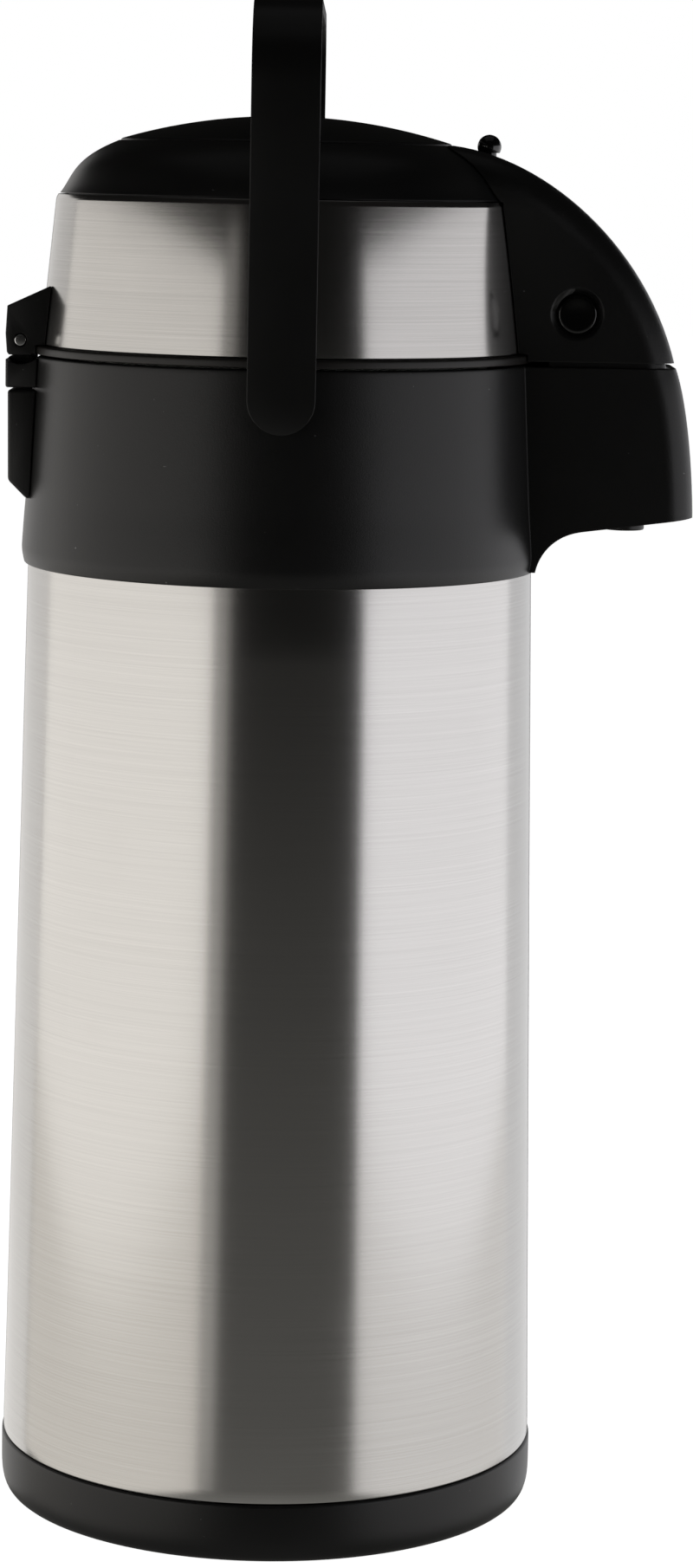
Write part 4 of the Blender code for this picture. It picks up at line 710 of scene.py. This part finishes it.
def makeCollar():
    wide = 78.8 * mm
    top, low = collarHigh.z, collarLow.z
    topRadius = wide - collarShape["topInset"]
    profile = softCorners([
        (0, top), (topRadius, top, 0.6 * mm), (topRadius + 0.1 * mm, top - 1.9 * mm),
        (wide - 1.15 * mm, low + 20 * mm, 3 * mm), (wide - 0.5 * mm, low + 11.9 * mm, 3 * mm),
        (wide, low + 3.9 * mm, 1.5 * mm), (wide - 0.8 * mm, low, 0.4 * mm), (wide - 3 * mm, low),
        (0, low)])
    collar = turnPiece("collar", profile, 192)
    beak = makeBeakBlank("collarBeak")
    noseX, noseZ = collarHigh.x, collarHigh.z - beakLook["noseDepth"]
    throatX = wide + beakLook["throat"] - 2 * mm
    throatZ = noseZ - beakLook["fall"]
    slope = (noseZ - 1.1 * mm - throatZ) / (noseX - 0.8 * mm - throatX)
    under = [(throatX + 60 * mm, throatZ + 60 * mm * slope)]
    under += curvePoints(
        (throatX, throatZ), (throatX - beakLook["throat"] * 0.6, throatZ - 1.2 * mm),
        (wide - 0.6 * mm, low + 6 * mm), (wide - 1.6 * mm, low + 0.6 * mm), 12)
    under += [(30 * mm, low + 0.6 * mm), (30 * mm, 200 * mm), (throatX + 60 * mm, 200 * mm)]
    above = blockPiece("above", (20 * mm, -60 * mm, top - 0.4 * mm), (160 * mm, 60 * mm, 460 * mm))
    cutAway(beak, slabPiece("under", under, -60 * mm, 60 * mm), above)
    weld(collar, beak)
    hollow = topRadius - collarShape["wall"]
    deckLow, deckTop = shellHigh.z + 1.2 * mm, shellHigh.z + 3.7 * mm
    hole = 39.4 * mm
    skirt = 77.1 * mm
    step = low + 14 * mm
    inside = turnPiece("inside", [
        (0, top + 10 * mm), (hollow, top + 10 * mm), (hollow, deckTop), (hole, deckTop),
        (hole, deckLow), (hollow + 0.4 * mm, deckLow), (wide - 4.3 * mm, step + 1.5 * mm),
        (skirt, step), (skirt, low - 10 * mm), (0, low - 10 * mm)], 144)
    trough = makeBeakBlank("trough", beakLook["wall"], 4)
    limit = blockPiece("limit", (wide + 2.4 * mm, -60 * mm, low + 18.5 * mm),
                       (160 * mm, 60 * mm, top + 20 * mm))
    combinePieces(trough, "INTERSECT", limit)
    room = coverHigh.y - beakLook["wall"] - 0.6 * mm
    passage = blockPiece("passage", (hollow - 12 * mm, -room, deckTop + 0.5 * mm),
                         (wide + 6.4 * mm, room, top + 10 * mm))
    spoutX = (nozzleLow.x + nozzleHigh.x) / 2
    spout = rodPiece("spoutHole", 6.5 * mm, (spoutX, 0, low + 30 * mm), 60 * mm, "Z")
    relief = rodPiece("relief", 7.2 * mm, (pinX, 0, pinZ), 41 * mm, "Y", 64)
    pivots = rodPiece("pivots", 5.8 * mm, (pivotX, 0, pivotZ), 170 * mm, "Y")
    cutAway(collar, inside, trough, passage, spout, relief, pivots)
    # a thin tongue inside the walls closes the parting line to the eye
    wall = beakLook["wall"]
    for lowZ, highZ, out in ((top - 3.4 * mm, top - 0.3 * mm, wall - 0.5 * mm),
                             (top - 0.6 * mm, top + 2 * mm, wall + 0.3 * mm)):
        tongue = makeBeakBlank("tongue", out, 4)
        slab = blockPiece("slab", (wide + 1.2 * mm, -60 * mm, lowZ), (160 * mm, 60 * mm, highZ))
        combinePieces(tongue, "INTERSECT", slab)
        core = makeBeakBlank("core", wall + 0.9 * mm, 4)
        cutAway(tongue, core)
        weld(collar, tongue)
    finishPiece(collar, "pot", blackPlastic, ["collar"], 30)
    spoutRadius = 6.25 * mm
    nozzle = turnPiece("nozzle", softCorners([
        (5.3 * mm, nozzleHigh.z - 6 * mm), (5.3 * mm, nozzleLow.z, 0.3 * mm),
        (spoutRadius, nozzleLow.z, 0.7 * mm), (spoutRadius, nozzleHigh.z - 1.6 * mm),
        (spoutRadius + 2.1 * mm, nozzleHigh.z - 1.6 * mm), (spoutRadius + 2.1 * mm, nozzleHigh.z),
        (5.3 * mm, nozzleHigh.z), (5.3 * mm, nozzleHigh.z - 6 * mm)]), 64, (spoutX, 0))
    finishPiece(nozzle, "pot", spoutBlack, ["spout_nozzle"])
    print("collar made")


makeCollar()


# lid

def makeLid():
    low, webTop = lidLow.z, lidLow.z + 2.5 * mm
    rim = lidHigh.x
    bandOut = bandHigh.x
    outerLow, outerHigh = bandOut - 1.1 * mm, bandTop - 1.1 * mm
    lid = turnPiece("lidBody", softCorners([
        (outerHigh, lidHigh.z), (outerLow, webTop), (rim, webTop, 0.8 * mm), (rim, low, 0.3 * mm),
        (52 * mm, low), (52 * mm, webTop), (outerLow - 2.5 * mm, webTop + 0.2 * mm),
        (outerHigh - 2.2 * mm, lidHigh.z), (outerHigh, lidHigh.z)]), 144)
    room = rodPiece("knuckleRoom", 4.9 * mm, (pinX, 0, pinZ), 21 * mm, "Y")
    holes = [rodPiece("hole", 2.1 * mm, (57 * mm * cos(radians(a)), 57 * mm * sin(radians(a)), low),
                      20 * mm, "Z", 24)
             for a in (45, 135, 225, 315)]
    cutAway(lid, room, *holes)
    finishPiece(lid, "lid", rimBrown, ["lid_body"])

    lean = (bandTop - bandOut) / (bandHigh.z - bandLow.z)
    lipZ = bandHigh.z - 1.3 * mm
    band = turnPiece("lidBand", softCorners([
        (bandOut - 0.8 * mm, bandLow.z), (bandOut, bandLow.z, 0.25 * mm),
        (bandOut + lean * (lipZ - bandLow.z), lipZ, 0.3 * mm), (bandTop - 0.45 * mm, bandHigh.z, 0.2 * mm),
        (bandTop - 0.8 * mm, bandHigh.z), (bandOut - 0.8 * mm, bandLow.z)], 3), 192)
    finishPiece(band, "lid", bandSteel, ["lid_band"], 20)

    outer = shoulderLine(20)
    lip = outerHigh - 2.2 * mm - gap
    sleeve = plateHigh.x + 2.3 * mm
    low = shoulderLow.z
    edge = bandHigh.z + gap
    inner = [(r - 0.9 * mm, z - 3 * mm) for r, z in outer]
    inner = [point for point in reversed(inner) if sleeve + mm < point[0] < lip - 2 * mm]
    shoulder = turnPiece(
        "lidShoulder",
        outer + [(lip, edge), (lip, edge - 6 * mm), (lip - 2 * mm, edge - 6 * mm)] + inner
        + [(sleeve, inner[-1][1]), (sleeve, low), (plateHigh.x + 0.5 * mm, low), outer[0]], 192)
    cutAway(shoulder, lockSlot("shoulderSlot", 350 * mm, 430 * mm))
    finishPiece(shoulder, "lid", plateBlack, ["lid_shoulder"], 30)
    print("lid made")


makeLid()


# push plate

def makePlate():
    radius = plateHigh.x
    crown = plateHigh.z - (shoulderHigh.z + 0.5 * mm)
    ball = (radius ** 2 + crown ** 2) / (2 * crown)

    def height(r):
        return plateHigh.z - ball + sqrt(ball ** 2 - r ** 2)

    low = plateLow.z + 1.7 * mm
    dome = [(radius * i / 24, height(radius * i / 24)) for i in range(24)]
    under = [(radius * i / 24, height(radius * i / 24) - 2.4 * mm) for i in range(22, 5, -1)]
    profile = dome + softCorners([
        dome[-1], (radius, height(radius), 0.8 * mm), (radius, low, 0.3 * mm),
        (radius - 2.4 * mm, low), (radius - 2.4 * mm, height(radius) - 2.4 * mm)])[1:]
    profile += under + [(9 * mm, height(9 * mm) - 2.4 * mm), (9 * mm, plateLow.z), (0, plateLow.z)]
    plate = turnPiece("pushPlate", profile, 192)
    finishPiece(plate, "plunger", plateBlack, ["push_plate"], 30)

    # lock knob: a rounded head on a short stalk
    middle = 61.2 * mm
    x, y = middle * cos(radians(-5)), middle * sin(radians(-5))
    top = knobHigh.z
    head = 3.6 * mm
    skin = shoulderHigh.z - 2.2 * mm
    knob = turnPiece("lockKnob", [(0, top)] + arcPoints((0, top - head), head, 84, -30, 12)
                     + [(2.2 * mm, skin + 0.5 * mm), (2.2 * mm, knobLow.z), (0, knobLow.z)], 48, (x, y))
    finishPiece(knob, "lock", buttonGloss, ["lock_knob"], 50)
    print("plate and knob made")


makePlate()


# hinge at the back

def makeHinge():
    wide = blockHigh.y
    outline = [(pinX - back * mm, pinZ + up * mm) for back, up in (
        (3.9, 10.2), (4.4, 2.0), (4.0, -3.6), (3.4, -4.4), (-3.5, -4.4), (-3.5, -4.0),
        (-20.0, -4.0), (-20.0, 16.1), (-8.7, 16.1))]
    lug = slabPiece("hingeLug", outline, -wide, wide)
    applyModifier(lug, "BEVEL", width=0.8 * mm, segments=3, limit_method="ANGLE", angle_limit=radians(25))
    notch = blockPiece("notch", (pinX - 20 * mm, -10.5 * mm, pinZ - 20 * mm),
                       (pinX + 4.9 * mm, 10.5 * mm, pinZ + 0.2 * mm))
    cutAway(lug, lidFace("lugFace", gap), rodPiece("room", 4.9 * mm, (pinX, 0, pinZ), 21 * mm),
            notch, rodPiece("bore", 2 * mm, (pinX, 0, pinZ), 60 * mm, "Y", 32))
    finishPiece(lug, "lid", blackPlastic, ["hinge_lug"], 30)

    pin = turnPiece("hingePin", softCorners([
        (0, -20.3 * mm), (1.7 * mm, -20.3 * mm, 0.3 * mm),
        (1.7 * mm, 20.3 * mm, 0.3 * mm), (0, 20.3 * mm)]), 32)
    pin.rotation_euler = (pi / 2, 0, 0)
    pin.location = (pinX, 0, pinZ)
    finishPiece(pin, "lid", pinSteel, ["hinge_pin"])

    top = collarHigh.z - 0.5 * mm
    low = blockLow.z
    behind = blockLow.x
    block = slabPiece("hingeBlock", [
        (behind, low), (behind, top), (pinX + 12 * mm, top), (pinX + 12 * mm, low)], -wide, wide)
    applyModifier(block, "BEVEL", width=0.7 * mm, segments=3, limit_method="ANGLE", angle_limit=radians(25))
    knuckle = rodPiece("knuckle", 4.4 * mm, (pinX, 0, pinZ), 20 * mm)
    web = blockPiece("web", (pinX - 3 * mm, -10 * mm, top - 3 * mm), (pinX + 2 * mm, 10 * mm, pinZ))
    weld(block, knuckle, web)
    sweeps = [rodPiece("sweep", 7.2 * mm, (pinX, side * 20.01 * mm, pinZ), 20 * mm) for side in (-1, 1)]
    collarFace = [(0, 460 * mm), (75.8 * mm, 460 * mm), (75.9 * mm, collarHigh.z - 1.9 * mm),
                  (78.0 * mm, collarLow.z + 18 * mm), (78.6 * mm, collarLow.z + 11.9 * mm),
                  (79.1 * mm, collarLow.z + 3.9 * mm), (78.3 * mm, collarLow.z), (0, collarLow.z)]
    cutAway(block, turnPiece("faceA", collarFace), *sweeps,
            rodPiece("boreB", 2 * mm, (pinX, 0, pinZ), 60 * mm, "Y", 32))
    finishPiece(block, "pot", blackPlastic, ["hinge_block"], 30)

    coverTop, coverLowZ = flapHigh.z, flapLow.z
    flap = slabPiece("hingeCover", [
        (pinX + 12 * mm, coverTop), (behind + 0.7 * mm, coverTop), (behind + 0.9 * mm, coverLowZ + 5.5 * mm),
        (behind + 6.4 * mm, coverLowZ), (pinX + 12 * mm, coverLowZ)], -wide, wide)
    applyModifier(flap, "BEVEL", width=0.8 * mm, segments=3, limit_method="ANGLE", angle_limit=radians(25))
    cutAway(flap, turnPiece("faceB", collarFace))
    finishPiece(flap, "pot", blackPlastic, ["hinge_cover"], 30)
    print("hinge made")


makeHinge()


# carrying strap

strap = {"thick": 3.8 * mm, "corner": 24 * mm, "edge": 0.9 * mm}


def makeStrap():
    thick = strap["thick"]
    half = (strapHigh.x - strapLow.x) / 2
    sideY = strapHigh.y - thick / 2
    top = strapHigh.z - thick / 2
    corner = strap["corner"] - thick / 2
    foot = [pivotZ - half * sin(radians(a)) for a in (90, 84, 75, 63, 50, 36, 22, 10, 0)]
    rise = [pivotZ + (top - corner - pivotZ) * i / 8 for i in range(1, 8)]
    quarter = arcPoints((sideY - corner, top - corner), corner, 0, 90, 16)
    halfPath = [(sideY, z) for z in foot + rise] + quarter
    crown = [(y, top) for y in (40 * mm, 20 * mm, 0)]
    path = halfPath + crown + [(-y, z) for y, z in reversed(halfPath + crown[:-1])]
    ribbon = traceLine("carryStrap", [(strapLow.x, y, z) for y, z in path])
    bpy.ops.mesh.select_all(action="SELECT")
    bpy.ops.mesh.extrude_edges_move(TRANSFORM_OT_translate={"value": (2 * half, 0, 0)})
    for z, a in zip(foot, (90, 84, 75, 63, 50, 36, 22, 10, 0)):
        share = max(cos(radians(a)), 0.02)
        selectWhere(ribbon, lambda co: abs(co.z - z) < 0.01 * mm)
        bpy.ops.transform.resize(value=(share, 1, 1), center_override=(pivotX, 0, z))
    closeUp(ribbon)
    applyModifier(ribbon, "SOLIDIFY", thickness=thick, offset=0.0, use_even_offset=True)
    applyModifier(ribbon, "BEVEL", width=strap["edge"], segments=4,
                  limit_method="ANGLE", angle_limit=radians(50))
    tips = [rodPiece("socket", 4.3 * mm, (pivotX, side * (78.6 * mm), pivotZ), 5.2 * mm) for side in (-1, 1)]
    cutAway(ribbon, *tips)
    finishPiece(ribbon, "handle", strapBlack, ["handle_strap"], 35)
    print("strap made")


makeStrap()


# the frame's own pieces that stay in sight keep their shape and get a finish

kept = {
    "shell_bottom_cap": flaskSteel, "inner_flask": flaskSteel, "mouth_gasket": sealRubber,
    "stopper": innerWhite, "dip_tube": innerWhite, "outlet_pipe": innerWhite, "pump_base": innerWhite,
    "air_seal": sealRubber, "bellows": bellowsSoft, "pump_spring": screwSteel, "pump_piston": innerWhite,
    "intake_valve": sealRubber, "handle_bush_right": bushBlack, "handle_bush_left": bushBlack,
}
for name in frame["nodes"]:
    if "screw" in name:
        kept[name] = screwSteel
for name, finish in kept.items():
    for slot in frame["nodes"][name].material_slots:
        slot.material = finish
print("frame pieces finished")


# the bellows and its spring stand on the pump base; here they are copied from the frame, finished and
# carried with the lid

softPump = {"joint": "pump_press", "stroke": 24 * mm,
            "pieces": {"bellows": (bellowsSoft, "bellows_plastic"),
                       "pump_spring": (screwSteel, "screw_steel")}}


def makeSoftPump():
    for node, (finish, slot) in softPump["pieces"].items():
        low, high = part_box(node)
        selectOnly(frame["nodes"][node])
        bpy.ops.object.duplicate()
        piece = bpy.context.object
        bpy.ops.object.parent_clear(type="CLEAR_KEEP_TRANSFORM")
        piece.name = piece.data.name = "soft" + node.title().replace("_", "")
        finishPiece(piece, "lid", finish, [node], 30)
        length = high[2] - low[2]
        (length - softPump["stroke"]) / length
        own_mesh(piece)
    print("soft pump made")


makeSoftPump()


# floor, light and camera

studio = {
    "floor": (0.83, 0.83, 0.83), "glow": 1.0,
    "panels": {
        # turn from the camera's side in degrees, distance, middle height, width, height, radiance, tint
        "leftPanel": (-76.5, 1.3, 0.2, 3.0, 0.84, 1.14, (1.0, 0.97, 0.93)),
        "leftLow": (-76.5, 1.3, -0.43, 3.0, 0.42, 0.76, (1.0, 0.955, 0.89)),
        "leftEdge": (-23.5, 1.9, 0.1, 0.2, 1.3, 0.35, (1.0, 0.965, 0.92)),
        "rightPanel": (82.5, 1.3, 0.2, 2.5, 0.84, 1.16, (0.985, 0.975, 1.0)),
        "rightLow": (82.5, 1.3, -0.43, 2.5, 0.42, 0.8, (1.0, 0.98, 0.97)),
        "backLeft": (-146, 1.5, 0.1, 1.1, 1.4, 0.8, (1.0, 0.98, 0.96)),
        "backRight": (146, 1.5, 0.1, 1.1, 1.4, 0.75, (0.98, 0.98, 1.0)),
    },
    "roof": (1.5, 1.2, 0.08),
    "above": 0.01, "beneath": 0.22, "fade": (-0.45, -0.06),
}


viewpoint = {"place": (0.0217, -1.2528, 0.4126), "down": 8.61, "roll": 1.09, "lens": 94.3}


def makeStudio():
    deselectAll()
    bpy.ops.mesh.primitive_circle_add(vertices=96, radius=9, fill_type="NGON", location=(0, 0, -0.0002))
    floor = bpy.context.object
    floor.name = floor.data.name = "studioFloor"
    made = Finish("studioFloorFinish")
    shade = made.add("ShaderNodeBsdfPrincipled", None, {
        "Base Color": (*studio["floor"], 1), "Roughness": 0.7,
        "Emission Color": (1, 1, 1, 1), "Emission Strength": studio["glow"]})
    output = made.tree.nodes.new("ShaderNodeOutputMaterial")
    made.tree.links.new(shade.socket, output.inputs[0])
    floor.data.materials.append(made.material)
    floor.visible_glossy = False
    floor.visible_diffuse = False

    for name, (turn, far, height, wide, tall, radiance, tint) in studio["panels"].items():
        deselectAll()
        x, y = far * sin(radians(turn)), -far * cos(radians(turn))
        bpy.ops.object.light_add(type="AREA", location=(x, y, height),
                                 rotation=(pi / 2, 0, radians(turn)))
        panel = bpy.context.object
        panel.name = name
        panel.data.shape = "RECTANGLE"
        panel.data.size, panel.data.size_y = wide, tall
        panel.data.energy = radiance * pi * wide * tall
        panel.data.color = tint
        panel.visible_camera = False
    height, wide, radiance = studio["roof"]
    deselectAll()
    bpy.ops.object.light_add(type="AREA", location=(0, 0, height), rotation=(0, 0, 0))
    roof = bpy.context.object
    roof.name = "roofPanel"
    roof.data.size = wide
    roof.data.energy = radiance * pi * wide * wide
    roof.visible_camera = False

    world = bpy.data.worlds.new("studioWorld")
    bpy.context.scene.world = world
    world.use_nodes = True
    tree = world.node_tree
    tree.nodes.clear()
    path = tree.nodes.new("ShaderNodeLightPath")
    seen = tree.nodes.new("ShaderNodeBackground")
    seen.inputs[0].default_value = (1, 1, 1, 1)
    seen.inputs[1].default_value = 1.0
    felt = tree.nodes.new("ShaderNodeBackground")
    felt.inputs[0].default_value = (1, 0.985, 0.93, 1)
    where = tree.nodes.new("ShaderNodeTexCoord")
    apart = tree.nodes.new("ShaderNodeSeparateXYZ")
    fade = tree.nodes.new("ShaderNodeMapRange")
    for name, value in (("From Min", studio["fade"][0]), ("From Max", studio["fade"][1]),
                        ("To Min", studio["beneath"]), ("To Max", studio["above"])):
        fade.inputs[name].default_value = value
    tree.links.new(where.outputs["Generated"], apart.inputs[0])
    tree.links.new(apart.outputs["Z"], fade.inputs["Value"])
    tree.links.new(fade.outputs["Result"], felt.inputs[1])
    mixed = tree.nodes.new("ShaderNodeMixShader")
    out = tree.nodes.new("ShaderNodeOutputWorld")
    tree.links.new(path.outputs["Is Camera Ray"], mixed.inputs[0])
    tree.links.new(felt.outputs[0], mixed.inputs[1])
    tree.links.new(seen.outputs[0], mixed.inputs[2])
    tree.links.new(mixed.outputs[0], out.inputs[0])

    deselectAll()
    bpy.ops.object.camera_add(location=viewpoint["place"],
                              rotation=(radians(90 - viewpoint["down"]), 0, 0))
    camera = bpy.context.object
    camera.rotation_euler.rotate_axis("Z", radians(viewpoint["roll"]))
    camera.data.sensor_width = 36
    camera.data.lens = viewpoint["lens"]
    camera.data.clip_start = 0.01
    bpy.context.scene.camera = camera
    bpy.context.scene.view_settings.view_transform = "Standard"
    print("studio made")


makeStudio()
